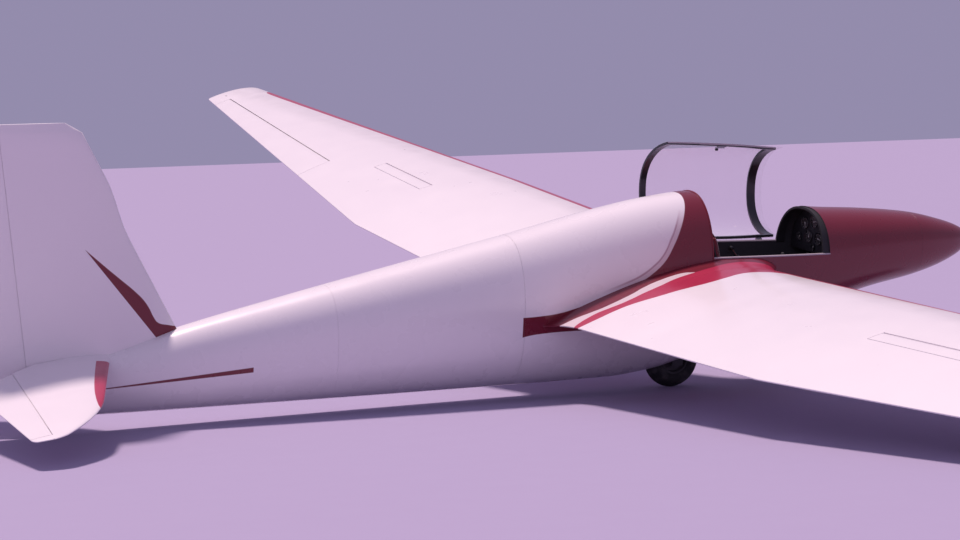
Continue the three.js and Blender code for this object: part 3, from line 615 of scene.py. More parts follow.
SWOOSH_TOP = [  # x, height of the edge between red and white
    (-1.18, 0.553), (-1.049, 0.557), (-0.927, 0.569), (-0.824, 0.592), (-0.72, 0.62), (-0.618, 0.655),
    (-0.509, 0.69), (-0.395, 0.732), (-0.304, 0.785), (-0.235, 0.842), (-0.167, 0.933),
    (-0.103, 1.034), (-0.056, 1.115), (-0.022, 1.178), (0.004, 1.23), (0.03, 1.29), (0.06, 1.33),
]
SWOOSH_LOW = [  # x, height of the red's lower edge
    (-1.18, 0.43), (-1.044, 0.45), (-0.6, 0.45), (0.0, 0.42), (0.5, 0.3), (1.0, 0.1), (1.4, 0.0),
]
SWOOSH_REAR = -1.162
SWOOSH_FILLET = [  # x, y of the dark red's outer edge on the root fairing: the fuselage's red carried over the fillet, and ahead of about x = -0.1 painted shade where the fillet meets the wing
    (-1.02, 0.38), (-0.972, 0.392), (-0.873, 0.410), (-0.782, 0.441), (-0.684, 0.460), (-0.568, 0.453),
    (-0.437, 0.415), (-0.313, 0.395), (-0.2, 0.392), (-0.12, 0.43), (-0.04, 0.48), (0.5, 0.5),
]
ROOT_BAND_OUT = [  # x, y of the root band's outer edge
    (-0.96, 0.57), (-0.819, 0.598), (-0.754, 0.604), (-0.653, 0.622), (-0.569, 0.657), (-0.482, 0.699),
    (-0.386, 0.730), (-0.298, 0.762), (-0.2, 0.784), (-0.092, 0.775), (0.061, 0.745), (0.175, 0.785),
    (0.25, 0.86), (0.32, 0.99), (0.39, 1.3),
]
ROOT_BAND_IN = [  # x, y of its inner edge
    (-0.96, 0.56), (-0.809, 0.495), (-0.709, 0.514), (-0.612, 0.53), (-0.489, 0.515), (-0.379, 0.5),
    (-0.236, 0.462), (-0.123, 0.45), (0.005, 0.428), (0.127, 0.397), (0.239, 0.384), (0.45, 0.38),
]
WING_STRIP = [  # y, width of the wing's leading edge strip
    (0.5, 0.14), (1.7, 0.14), (3.0, 0.125), (4.0, 0.115),
    (6.0, 0.105), (7.0, 0.09), (7.2, -0.01), (7.5, -0.05),
]
TAIL_STRIP = [  # y, width of the stabilizer's leading edge strip
    (0.1, 0.075), (0.5, 0.07), (0.75, 0.06), (0.9, 0.047),
    (1.0, 0.034), (1.06, 0.022), (1.11, -0.002), (1.5, -0.2),
]
FLASH_TOP = [  # x, height of the fin flash's upper edge
    (-3.76, 1.07), (-3.656, 0.977), (-3.589, 0.918), (-3.533, 0.87), (-3.439, 0.788), (-3.389, 0.735),
    (-3.36, 0.69), (-3.335, 0.64), (-3.31, 0.608), (-3.25, 0.59), (-3.15, 0.57),
]
FLASH_LOW = (-3.341, 0.548, 1.27)  # x, height and fall of the flash's lower edge
FLASH_REAR = -3.73
LIGHT_WIDTH = 0.024  # of the light gap above the red
LINE_WIDTH = 0.037  # of the gap and the dull line above it
LIGHT_REAR = -0.56
STRIPE_ENDS = (-3.7, -2.8)
STRIPE_HEIGHT = 0.3345  # at its front end
STRIPE_SLOPE = 0.0756
STRIPE_TIP = (-3.66, 0.0028, 0.0136)  # x, half width there, growth ahead of it
SEAMS = (NOSE_JOINT, CONE_JOINT, -2.3)
WING_RIBS = 0.28
TAIL_RIBS = 0.24
FIN_RIBS = 0.26


def worn(paint, colour, point, amount=0.06):
    """A colour with the soft unevenness of old paint."""
    patches = paint.noise(point, 1.7, 4.0)
    specks = paint.noise(point, 46.0, 2.0)
    return paint.mix((patches * 0.7 + specks * 0.3) * amount * 2, colour, rgba(colour, 0.72))


def gloss(paint, point, low, high):
    return low + (high - low) * paint.noise(point, 5.0, 4.0)


def ribbed_paint(paint, point, along, pitch, mark, red):
    """White enamel with a red mark, over ribs that stand a pitch apart."""
    ribs = (1 - along.wave(pitch)).over(0.985, 0.01)
    quilt = along.wave(pitch) * 0.5 + paint.noise(point, 3.0, 1.0) * 0.5
    coloured = paint.mix(mark, worn(paint, rgba(looks().white), point), red)
    paint.bump(quilt + ribs * 0.3, 0.001)
    return paint.finish(base_color=coloured, roughness=gloss(paint, point, 0.24, 0.42),
                        coat_weight=0.25, coat_roughness=0.14)


def fuselage_paint():
    paint = Paint("fuselage_paint")
    point = paint.level_point()
    x, _, z = paint.axes(point)
    top = paint.curve(x, SWOOSH_TOP)
    low = paint.curve(x, SWOOSH_LOW)
    slope = (paint.curve(x + 0.01, SWOOSH_TOP) - paint.curve(x - 0.01, SWOOSH_TOP)) * 50
    above = (z - top) / paint.node("ShaderNodeMath", {"operation": "SQRT"}, [slope * slope + 1])
    red = above.under(0.0) * z.over(low) * x.over(SWOOSH_REAR)
    ahead = x.over(LIGHT_REAR, 0.1) * z.under(1.09, 0.05)
    light = above.over(0.0) * above.under(LIGHT_WIDTH, 0.003) * ahead
    line = above.over(LIGHT_WIDTH, 0.004) * above.under(LINE_WIDTH, 0.004) * ahead
    rear, front = STRIPE_ENDS
    tip, half, growth = STRIPE_TIP
    centre = STRIPE_HEIGHT + STRIPE_SLOPE * (x - front)
    taper = half + (x - tip) * growth
    stripe = (taper - abs(z - centre)).over(0.0) * x.under(front) * x.over(rear)
    # The white grows darker in patches towards the bottom of the fuselage.
    belly = z.under(0.2, 0.12) * 0.5
    white = paint.mix(belly * paint.noise(point, 3.0), worn(paint, rgba(looks().white), point),
                      rgba(looks().dust_and_shade))
    white = paint.mix(line, white, rgba(looks().line))
    white = paint.mix(light, white, rgba(looks().trim))
    coloured = paint.mix((red + stripe).clamped(), white, worn(paint, rgba(looks().red), point, 0.1))
    seams = 0
    for place in SEAMS:
        seams = abs(x - place).under(0.0011, 0.0007) + seams
    ripple = paint.noise(point, 2.2, 1.0) * 0.6
    paint.bump(ripple - seams * 0.9, 0.0012)
    return paint.finish(base_color=coloured, roughness=gloss(paint, point, 0.2, 0.36),
                        coat_weight=0.35, coat_roughness=0.12)


def wing_paint():
    paint = Paint("wing_paint")
    point = paint.level_point()
    x, y, _ = paint.axes(point)
    out = abs(y)
    lead = WING_LEAD - (out - WING_ROOT) * math.tan(WING_SWEEP) - 0.007
    strip = x.over(lead - paint.curve(out, WING_STRIP)) * out.over(0.5, 0.02)
    band = out.under(paint.curve(x, ROOT_BAND_OUT)) * out.over(paint.curve(x, ROOT_BAND_IN))
    # Dark red on the fairing beside the fuselage: the swoosh's red, and towards the front painted shade.
    shade = out.under(paint.curve(x, SWOOSH_FILLET)) * out.under(paint.curve(x, ROOT_BAND_IN) + 0.006)
    # Painted shade: the front of the wing's chord, behind the leading edge, is darkened in patches.
    painted_lead_shade = x.over(lead - 0.3, 0.06) * out.over(WING_JOINT, 0.2)
    white = paint.mix(painted_lead_shade * paint.noise(point, 9.0, 5.0) * 0.3,
                      worn(paint, rgba(looks().white), point), rgba(looks().dust_and_shade))
    # Painted shade: the white of the root fillet beside the fuselage is darkened towards the trim colour.
    fillet = out.under(paint.curve(x, ROOT_BAND_IN)) * 0.8
    white = paint.mix(fillet, white, rgba(looks().trim))
    white = paint.mix(shade, white, worn(paint, rgba(looks().red), point, 0.1))
    # The root band and the leading edge strip take the red painted lighter, as painted sunlight on these
    # upward-facing surfaces.
    red = worn(paint, rgba(looks().red_lit), point, 0.08)
    coloured = paint.mix((strip + band).clamped(), white, red)
    ribs = (1 - out.wave(WING_RIBS)).over(0.985, 0.01)
    spar = abs(x - lead + wing_chord(2.0) * 0.38).under(0.004, 0.003)
    rivets = paint.node("ShaderNodeTexVoronoi", {"feature": "F1"}, {"Vector": point, "Scale": 24.0})
    dimples = rivets.under(0.09, 0.03) * (ribs + spar).clamped()
    quilt = out.wave(WING_RIBS) * 0.45 + paint.noise(point, 2.6, 1.0) * 0.5
    paint.bump(quilt - dimples * 0.4, 0.0013)
    return paint.finish(base_color=coloured, roughness=gloss(paint, point, 0.22, 0.4),
                        coat_weight=0.3, coat_roughness=0.12)


def tail_paint():
    paint = Paint("tail_paint")
    point = paint.level_point()
    x, y, _ = paint.axes(point)
    out = abs(y)
    fall = (TAIL_ROOT_LEAD - TAIL_TIP_LEAD) / (TAIL_TIP - TAIL_ROOT)
    lead = TAIL_ROOT_LEAD - (out - TAIL_ROOT) * fall
    strip = x.over(lead - paint.curve(out, TAIL_STRIP)) * out.over(0.165)
    # The leading edge strip takes the red painted lighter, as painted sunlight on the upward-facing
    # stabilizer.
    red = worn(paint, rgba(looks().red_lit), point, 0.08)
    return ribbed_paint(paint, point, out, TAIL_RIBS, strip, red)


def fin_paint():
    paint = Paint("fin_paint")
    point = paint.level_point()
    x, _, z = paint.axes(point)
    start, height, fall = FLASH_LOW
    lower = height - (x - start) * fall
    flash = (paint.curve(x, FLASH_TOP) - z).over(0.0) * (z - lower).over(0.0) * x.over(FLASH_REAR)
    red = worn(paint, rgba(looks().red), point, 0.1)
    return ribbed_paint(paint, point, z, FIN_RIBS, flash, red)


def bulkhead_paint():
    paint = Paint("bulkhead_paint")
    point = paint.coordinates()
    paint.bump(paint.noise(point, 60.0), 0.0006)
    return paint.finish(base_color=worn(paint, rgba(looks().red), point, 0.12),
                        roughness=gloss(paint, point, 0.3, 0.5))


# Finishes of the fittings

FINISHES = {  # colour or its name, least and most roughness, grain, its depth, metal, wear, coat
    "cockpit_liner": ("liner", 0.7, 0.95, 240.0, 0.0006, 0.0, 0.1, 0.0),
    "black_enamel": ("black", 0.22, 0.4, 120.0, 0.0002, 0.0, 0.1, 0.3),
    "crackle_black": ("black", 0.55, 0.8, 700.0, 0.0007, 0.0, 0.1, 0.0),
    "light_edging": ("edging", 0.3, 0.5, 160.0, 0.0003, 0.0, 0.1, 0.0),
    "brushed_steel": ((0.5, 0.5, 0.52), 0.25, 0.45, 200.0, 0.0002, 0.95, 0.2, 0.0),
    "cast_alloy": ((0.62, 0.62, 0.64), 0.3, 0.5, 130.0, 0.0005, 0.9, 0.2, 0.0),
    # The hubs' near black is partly their own dark enamel and partly painted shade.
    "hub_enamel": ((0.06, 0.058, 0.064), 0.4, 0.6, 130.0, 0.0005, 0.3, 0.4, 0.0),
    "wheel_well_primer": ((0.09, 0.085, 0.09), 0.7, 0.95, 60.0, 0.0008, 0.0, 0.1, 0.0),
    "skid_steel": ((0.13, 0.125, 0.13), 0.4, 0.7, 50.0, 0.0006, 0.6, 0.4, 0.0),
    "dial_face": ((0.012, 0.012, 0.014), 0.4, 0.5, 90.0, 0.0003, 0.0, 0.1, 0.0),
    "dial_marks": ((0.85, 0.85, 0.8), 0.5, 0.6, 90.0, 0.0003, 0.0, 0.1, 0.0),
    "pale_floor": ("floor", 0.8, 0.95, 30.0, 0.0005, 0.0, 0.03, 0.0),
}


def simple_finish(name):
    """A plain, slightly uneven finish, from its row in FINISHES."""
    colour, low, high, grain, depth, metal, wear, coat = FINISHES[name]
    if isinstance(colour, str):
        colour = getattr(looks(), colour)
    paint = Paint(name)
    point = paint.coordinates()
    paint.bump(paint.noise(point, grain, 4.0), depth)
    return paint.finish(base_color=worn(paint, rgba(colour), point, wear),
                        roughness=gloss(paint, point, low, high), metallic=metal, coat_weight=coat)


def tyre_finish():
    paint = Paint("tyre_rubber")
    point = paint.coordinates()
    dust = paint.noise(point, 14.0, 5.0)
    dark = worn(paint, rgba(looks().rubber), point, 0.2)
    coloured = paint.mix(dust.over(0.62, 0.12) * 0.35, dark, rgba(looks().dust_and_shade, 0.5))
    paint.bump(paint.noise(point, 300.0, 3.0), 0.0006)
    return paint.finish(base_color=coloured, roughness=gloss(paint, point, 0.75, 0.95))


def glass_finish():
    paint = Paint("canopy_perspex")
    point = paint.coordinates()
    facing = paint.node("ShaderNodeLayerWeight", None, {"Blend": 0.35}, "Facing")
    haze = paint.noise(point, 7.0, 5.0) * 0.03
    paint.bump(paint.noise(point, 3.0, 2.0), 0.0006)
    return paint.finish(base_color=rgba((0.8, 0.86, 0.93)), roughness=0.04,
                        alpha=(facing * facing * 0.3 + 0.03 + haze).clamped())


def cloth_finish():
    paint = Paint("dark_red_cloth")
    point = paint.coordinates()
    x, y, z = paint.axes(point)
    weave = (x + z).wave(0.0024) * 0.5 + y.wave(0.0024) * 0.5
    lint = paint.noise(point, 60.0, 5.0)
    coloured = paint.mix(weave * 0.5 + lint * 0.4, rgba(looks().cloth, 0.55), rgba(looks().cloth, 1.25))
    paint.bump(weave + lint * 0.6, 0.0006)
    return paint.finish(base_color=coloured, roughness=0.92, sheen_weight=0.15, sheen_roughness=0.5)


def leather_finish():
    paint = Paint("red_leather")
    point = paint.coordinates()
    cells = paint.node("ShaderNodeTexVoronoi", {"feature": "F1"}, {"Vector": point, "Scale": 420.0})
    creases = paint.noise(point, 35.0, 5.0)
    paint.bump(cells * 0.5 + creases * 0.6, 0.0008)
    return paint.finish(base_color=worn(paint, rgba(looks().cloth, 1.3), point, 0.25),
                        roughness=gloss(paint, point, 0.38, 0.6))


def webbing_finish():
    paint = Paint("harness_webbing")
    point = paint.coordinates()
    ribs = paint.axes(point)[1].wave(0.004)
    coloured = paint.mix(ribs, rgba(looks().webbing, 0.7), rgba(looks().webbing))
    paint.bump(ribs, 0.0006)
    return paint.finish(base_color=coloured, roughness=0.85, sheen_weight=0.2)


# Meshes

def surface(bm, across, along, place):
    """A sheet with a point for each pair of an entry of across and an entry of along."""
    made = bmesh.ops.create_grid(bm, x_segments=len(across) - 1, y_segments=len(along) - 1, size=1)
    for vert in made["verts"]:
        i = round((vert.co.x + 1) / 2 * (len(across) - 1))
        j = round((vert.co.y + 1) / 2 * (len(along) - 1))
        vert.co = place(across[i], along[j])


def weld(bm, distance=1e-6):
    bmesh.ops.remove_doubles(bm, verts=bm.verts, dist=distance)
    bmesh.ops.dissolve_degenerate(bm, edges=bm.edges, dist=distance)


def outward(bm):
    bmesh.ops.recalc_face_normals(bm, faces=bm.faces)


def cap(bm):
    """Fills each open end with one face."""
    weld(bm)
    bmesh.ops.holes_fill(bm, edges=[e for e in bm.edges if e.is_boundary], sides=0)
    outward(bm)


def sheet(across, along, place, distance=1e-6):
    """A new bmesh with one open surface."""
    bm = bmesh.new()
    surface(bm, across, along, place)
    weld(bm, distance)
    outward(bm)
    return bm


def solid(across, along, place):
    """A new bmesh with one surface, its ends filled."""
    bm = bmesh.new()
    surface(bm, across, along, place)
    cap(bm)
    return bm


def prism(bm, points, run):
    """A solid with the same outline at both ends."""
    face = bm.faces.new([bm.verts.new(point) for point in points])
    made = bmesh.ops.extrude_face_region(bm, geom=[face])["geom"]
    bmesh.ops.translate(bm, vec=run, verts=[v for v in made if isinstance(v, bmesh.types.BMVert)])
    outward(bm)


def cut(bm, point, normal, drop=False):
    """Makes a row of edges along a plane, and can drop what lies behind it."""
    geometry = bm.verts[:] + bm.edges[:] + bm.faces[:]
    bmesh.ops.bisect_plane(bm, geom=geometry, dist=1e-6, plane_co=point, plane_no=normal,
                           clear_inner=drop)


def clear(bm, unwanted):
    """Removes the faces whose middle the test names."""
    faces = [f for f in bm.faces if unwanted(f.calc_center_median())]
    bmesh.ops.delete(bm, geom=faces, context="FACES")


def bevel(bm, edges, width, segments=2):
    bmesh.ops.bevel(bm, geom=edges, offset=width, offset_type="OFFSET", affect="EDGES",
                    segments=segments, profile=0.5, material=-1, clamp_overlap=True)


def sharp_edges(bm, angle=30):
    return [e for e in bm.edges if len(e.link_faces) == 2 and e.calc_face_angle(0) > math.radians(angle)]


def block(bm, low, high, width, segments=2):
    """A box between two corners, with rounded edges."""
    low, high = Vector(low), Vector(high)
    size = high - low
    matrix = Matrix.Translation((low + high) / 2) @ Matrix.Diagonal((*size, 1))
    made = set(bmesh.ops.create_cube(bm, size=1, matrix=matrix)["verts"])
    bevel(bm, [e for e in bm.edges if e.verts[0] in made], width, segments)


def turned(bm, profile, centre, axis, sides):
    """A body of revolution: profile holds pairs of radius and height along the axis."""
    axis = Vector(axis).normalized()
    side = axis.orthogonal().normalized()
    centre = Vector(centre)
    verts = [bm.verts.new(centre + side * r + axis * h) for r, h in profile]
    edges = [bm.edges.new(pair) for pair in zip(verts, verts[1:])]
    bmesh.ops.spin(bm, geom=verts + edges, cent=centre, axis=axis, angle=2 * math.pi,
                   steps=sides, use_merge=True)


def rod(bm, start, end, radius, end_radius=None, sides=16):
    start, end = Vector(start), Vector(end)
    run = end - start
    matrix = Matrix.Translation((start + end) / 2) @ run.to_track_quat("Z", "Y").to_matrix().to_4x4()
    bmesh.ops.create_cone(bm, cap_ends=True, segments=sides, radius1=radius,
                          radius2=radius if end_radius is None else end_radius,
                          depth=run.length, matrix=matrix)


def ribbon(bm, path, width, thickness, side):
    """A strap of one width along a path. Side is the direction of its width."""
    side = Vector(side).normalized()
    points = [Vector(p) for p in path]

    def place(corner, k):
        run = (points[min(k + 1, len(points) - 1)] - points[max(k - 1, 0)]).normalized()
        normal = side.cross(run).normalized()
        return points[k] + side * (corner[0] * width / 2) + normal * (corner[1] * thickness / 2)

    corners = [(-1, -1), (-1, 1), (1, 1), (1, -1), (-1, -1)]
    surface(bm, corners, range(len(points)), place)
    cap(bm)


def arc_path(points, count):
    """A smooth path through a few points."""
    marks = [0.0]
    for a, b in zip(points, points[1:]):
        marks.append(marks[-1] + (Vector(b) - Vector(a)).length)
    spread = steps(0, marks[-1], marks[-1] / count)
    return [[smooth_at(marks, [p[k] for p in points], d) for k in range(3)] for d in spread]


def linked(bm, name):
    """A new object of the scene, from a bmesh."""
    mesh = bpy.data.meshes.new(name)
    bm.to_mesh(mesh)
    bm.free()
    piece = bpy.data.objects.new(name, mesh)
    bpy.context.scene.collection.objects.link(piece)
    return piece


def finished(bm, name, body, paints, replaces=(), place=None, smooth=35):
    """Turns a bmesh into a piece that rides on a body."""
    weld(bm)
    bmesh.ops.transform(bm, matrix=place or PARKED, verts=bm.verts)
    rims = [e for e in bm.edges if e.is_boundary]
    for edge in sharp_edges(bm, smooth) + rims:
        edge.smooth = False
    for face in bm.faces:
        face.smooth = True
    piece = linked(bm, name)
    for paint in paints:
        piece.data.materials.append(painted(paint))
    if replaces:
        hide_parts(*replaces)
    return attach(piece, body)


def mirrored(bm):
    bmesh.ops.transform(bm, matrix=Matrix.Scale(-1, 4, (0, 1, 0)), verts=bm.verts)
    bmesh.ops.reverse_faces(bm, faces=bm.faces)


def wall(piece, thickness, lining=0):
    """Gives a sheet its thickness, inwards. Lining is the material of the inside and the rim."""
    inner = piece.modifiers.new("wall", "SOLIDIFY")
    inner.thickness = thickness
    inner.offset = -1
    inner.use_even_offset = True
    inner.material_offset = lining
    inner.material_offset_rim = lining


def rounded(piece, width, segments):
    """Rounds the sharp edges of a piece that a wall has made thick."""
    edge = piece.modifiers.new("rounding", "BEVEL")
    edge.width = width
    edge.segments = segments
    edge.limit_method = "ANGLE"


# Fuselage

def full_turn(count=RING):
    return [2 * math.pi * i / count for i in range(count + 1)]


def hull(front, rear, ring=RING, size=0.045, inset=0.0):
    """The fuselage's skin between two stations, open at its ends."""
    stations = steps(front, rear, size)
    return sheet(full_turn(ring), stations, lambda angle, x: hull_point(x, angle, inset), 1e-5)


def nose_skin():
    length = NOSE_END - NOSE_ROUND
    stations = steps(NOSE_JOINT, NOSE_ROUND, 0.04)[:-1]
    stations += [NOSE_END - length * u * u for u in steps(1, 0, 0.06)]

    def place(angle, x):
        """Beyond the last full section the nose is a blunt parabola."""
        point = hull_point(min(x, NOSE_ROUND), angle)
        if x > NOSE_ROUND:
            run = (x - NOSE_ROUND) / length
            top, bottom, _ = section_at(NOSE_ROUND)
            middle = (top + bottom) / 2
            share = math.sqrt(max(1 - run, 0))
            point = Vector((x, point.y * share, middle + NOSE_RISE * run + (point.z - middle) * share))
        return point

    bm = bmesh.new()
    surface(bm, full_turn(), stations, place)
    weld(bm, 1e-5)
    cap(bm)
    return finished(bm, "nose_skin", "airframe", [fuselage_paint], ["nose_cone"])


def cockpit_skin():
    bm = hull(NOSE_JOINT - HAIR, BULKHEAD)
    sill = Vector((BULKHEAD, 0, SILL_REAR))
    cut(bm, sill, SILL_NORMAL)
    cut(bm, (DECK_REAR, 0, 0), (1, 0, 0))
    clear(bm, lambda c: c.x < DECK_REAR and (c - sill).dot(SILL_NORMAL) > 0)
    cut(bm, (WELL_FRONT, 0, 0), (1, 0, 0))
    cut(bm, (0, 0, WELL_STEP), (0, 0, 1))
    clear(bm, lambda c: c.x < WELL_FRONT and c.z < WELL_STEP)
    piece = finished(bm, "cockpit_skin", "airframe", [fuselage_paint, "cockpit_liner"],
                     ["cockpit_shell"])
    wall(piece, SKIN, 1)
    return piece


def centre_skin():
    bm = hull(WELL_FRONT - HAIR, CONE_JOINT)
    cut(bm, (BULKHEAD, 0, 0), (1, 0, 0))
    cut(bm, (0, 0, WELL_STEP), (0, 0, 1))
    clear(bm, lambda c: c.x > BULKHEAD and c.z > WELL_STEP)
    well_mouth(bm, 0, WELL_HALF_LENGTH, WELL_HALF_WIDTH, WELL_TOP)
    return finished(bm, "centre_skin", "airframe", [fuselage_paint],
                    ["centre_fuselage"])


def well_mouth(bm, x, half_length, half_width, top):
    """Opens the belly over a wheel well."""
    for sign in (-1, 1):
        cut(bm, (x + sign * half_length, 0, 0), (1, 0, 0))
    for sign in (-1, 1):
        cut(bm, (0, sign * half_width, 0), (0, 1, 0))
    clear(bm, lambda c: abs(c.x - x) < half_length and abs(c.y) < half_width and c.z < top)


def wheel_well(name, x, half_length, half_width, top, size):
    """The box that a wheel sits in, open below, its lower edge just under the skin."""
    bm = bmesh.new()
    lengths = steps(x - half_length, x + half_length, size)
    outline = [(-half_width, 0), (-half_width, 1), (half_width, 1), (half_width, 0)]

    def place(corner, place_x):
        y, up = corner
        low = hull_floor(place_x, abs(y))
        return Vector((place_x, y, low + (top - low) * up))

    surface(bm, outline, lengths, place)
    ends = [e for e in bm.edges if e.is_boundary and abs(e.verts[0].co.x - e.verts[1].co.x) < 1e-5]
    for sign in (-1, 1):
        loop = [e for e in ends if (e.verts[0].co.x - x) * sign > 0]
        bmesh.ops.contextual_create(bm, geom=loop)
    return finished(bm, name, "airframe", ["wheel_well_primer"])


def hull_floor(x, y):
    """The height of the belly at a distance from the centre line."""
    top, bottom, half = section_at(x)
    share = min(y / half, 1)
    return (top + bottom) / 2 - (top - bottom) / 2 * (1 - share ** ROUNDNESS) ** (1 / ROUNDNESS)


def bulkhead_plate():
    """The dished wall behind the pilot, inside the rear arch."""
    rings = [(0.0, 0.0), (0.012, 0.0), (0.018, 0.012), (0.026, 0.016)]

    def place(angle, ring):
        inset, deep = ring
        point = hull_point(BULKHEAD, angle, inset)
        point.x -= deep
        point.z = max(point.z, WELL_STEP)
        return point

    bm = bmesh.new()
    surface(bm, full_turn(), rings, place)
    weld(bm, 1e-5)
    inner = [e for e in bm.edges if e.is_boundary and e.verts[0].co.x < BULKHEAD - 0.01]
    bmesh.ops.contextual_create(bm, geom=inner)
    outward(bm)
    return finished(bm, "bulkhead_plate", "airframe", [bulkhead_paint])


def tail_skin():
    well = (TAIL_WHEEL_X, TAIL_WELL_HALF_LENGTH, TAIL_WELL_HALF_WIDTH)
    bm = hull(CONE_JOINT - HAIR, TAIL_END, size=0.06)
    well_mouth(bm, *well, 0.2)
    rear = [e for e in bm.edges if e.is_boundary and max(v.co.x for v in e.verts) < TAIL_END + 1e-4]
    bmesh.ops.contextual_create(bm, geom=rear)
    outward(bm)
    rim = [e for e in sharp_edges(bm, 50) if min(v.co.x for v in e.verts) < TAIL_END + 1e-4]
    bevel(bm, rim, 0.006, 3)
    skin = finished(bm, "tail_skin", "airframe", [fuselage_paint], ["tail_cone"])
    wheel_well("tail_wheel_well", *well, TAIL_WELL_TOP, 0.02)
    return skin


def sill_trim():
    """The light edging along both sides of the cockpit opening."""
    width = sizes().sill_width
    outline = [(-0.5, -0.8), (-0.5, 0.6), (-0.38, 1), (0.38, 1), (0.5, 0.6), (0.5, -0.8), (-0.5, -0.8)]
    for name, side in (("left_sill_trim", 1), ("right_sill_trim", -1)):

        def place(corner, x):
            z = sill_at(x)
            y = half_width(x, z) - SKIN / 2
            return Vector((x, side * (y + corner[0] * width), z + corner[1] * SILL_TRIM_HEIGHT))

        bm = solid(outline, steps(BULKHEAD + HAIR, DECK_REAR - HAIR, 0.03), place)
        finished(bm, name, "airframe", ["light_edging"])


def arch_flange():
    """The raised lip along the rear arch, that the canopy closes against."""
    angles = steps(-0.25, math.pi + 0.25, 0.05)
    outline = [(-0.010, 0.0), (-0.009, 0.0022), (0.0, 0.003), (0.002, 0.0), (0.0, -0.006), (-0.010, 0.0)]

    def place(angle, corner):
        along, lift = corner
        point = hull_point(BULKHEAD, angle, -lift)
        point.x += along
        return point

    bm = solid(angles, outline, place)
    finished(bm, "rear_arch_flange", "airframe", [bulkhead_paint])


# Wings and tail surfaces

class Blade:
    """What a wing or a tail surface needs: its section, and where its moving part hinges."""

    def __init__(self, section, hinge, lip=0.012, brake=None):
        self.section, self.hinge, self.lip, self.brake = section, hinge, lip, brake

    def knots(self, y):
        section = self.section(y)
        lip = self.hinge(y) - self.lip / section.chord
        if self.brake is None:
            return [0.0, lip, 1.0]
        front = self.brake - (BRAKE_RADIUS + GAP) / section.chord
        rear = self.brake + (BRAKE_REACH + GAP) / section.chord
        return [0.0, front, rear, lip, 1.0]


def fixed_part(blade, along, fine):
    """The fixed part of a blade. Along holds y, whether the flap's room is open, and the brake's."""
    last = len(blade.knots(along[0][0])) - 1
    across = [(0, last, False)]
    for side in (1, -1):
        column = []
        for zone in range(last):
            column += [(side, zone + k / fine[zone], False) for k in range(fine[zone])]
        column.append((side, last, False))
        if blade.brake is not None:
            sunk = [(side, mark[1], True) for mark in column if 1 <= mark[1] <= 2]
            before = [mark for mark in column if mark[1] <= 1]
            after = [mark for mark in column if mark[1] >= 2]
            column = before + sunk + after
        across += column[::-1] if side > 0 else column[1:]
    across.append((0, last, False))

    def place(mark, row):
        side, reach, sunk = mark
        y, notched, braked = row
        section = blade.section(y)
        knots = blade.knots(y)
        zone = min(int(reach), last - 1)
        t = reach - zone
        if notched and reach > last - 1:
            centre = section.point(blade.hinge(y), 0)
            edge = section.point(knots[last - 1], side or 1) - centre
            start = math.atan2(edge.dot(section.up), -edge.dot(section.back))
            return section.around(centre, edge.length, start * (1 - t))
        share = knots[zone] + (knots[zone + 1] - knots[zone]) * (t * t if zone == 0 else t)
        deep = -BRAKE_DEPTH if sunk and braked and side > 0 else 0.0
        return section.point(share, side, deep)

    return solid(across, along, place)


def flap_part(blade, start, stop, size, trim=0.001):
    """The moving part of a blade: a round nose about the hinge line, and the skins behind it."""
    across = [("tail", 0.0, 0)]
    across += [("skin", 1 - t, 1) for t in steps(0, 1, 0.1)[:-1]]
    across += [("nose", math.pi / 2 + a, 0) for a in steps(0, math.pi, math.pi / 14)]
    across += [("skin", t, -1) for t in steps(0, 1, 0.1)[1:]]
    across.append(("tail", 0.0, 0))

    def place(mark, y):
        kind, t, side = mark
        section = blade.section(y)
        hinge = blade.hinge(y)
        if kind == "nose":
            radius = section.half(hinge) - trim
            centre = section.point(hinge, 0)
            return centre + section.up * (radius * math.sin(t)) + section.back * (radius * math.cos(t))
        if kind == "tail":
            return section.point(1, 0)
        return section.point(hinge + (1 - hinge) * max(t, 0.004), side)

    return solid(across, steps(start, stop, size), place)


def rows(marks, size):
    """Rows of a blade between marks of y, flap room and brake room, doubled where these change."""
    listed = []
    for (y0, notched, braked), (y1, _, _) in zip(marks, marks[1:]):
        listed += [(y, notched, braked) for y in steps(y0, y1, size)]
    return listed


def airbrake_plate(blade):
    outline = [("top", 1), ("top", 0.5), ("top", 0.12), *(("nose", a) for a in steps(1, -1, 0.25)),
               ("low", 0.12), ("low", 1), ("top", 1)]

    def place(mark, y):
        kind, t = mark
        section = blade.section(y)
        if kind == "nose":
            centre = section.point(BRAKE_HINGE, 1, -BRAKE_BELOW)
            return section.around(centre, BRAKE_RADIUS, t * math.pi / 2)
        share = BRAKE_HINGE + BRAKE_REACH * t / section.chord
        return section.point(share, 1, 0.0 if kind == "top" else -BRAKE_BELOW - BRAKE_RADIUS + 0.001)

    return solid(outline, steps(*BRAKE_SPAN, 0.1), place)


def fairing_skin():
    """The fillet between the wing and the fuselage. Points inside the hull are drawn out to it."""
    places = [row[0] for row in FAIRING]
    upper = [(1, t) for t in steps(1, 0, 0.03)]
    lower = [(-1, t) for t in steps(0, 1, 0.03)[1:]]
    across = [(0, 1)] + upper + lower + [(0, 1)]

    def place(mark, y):
        side, t = mark
        front, rear, thick = (smooth_at(places, [row[k] for row in FAIRING], y) for k in (1, 2, 3))
        point = wing_section(y, front, rear, thick).point(t * t if side else 1, side)
        if point.x > BULKHEAD:
            point.z = min(point.z, sill_at(point.x) - 2 * GAP)
        point.y = max(point.y, half_width(point.x, point.z) - GAP)
        return point

    return sheet(across, steps(places[0], WING_JOINT - HAIR, 0.012), place)


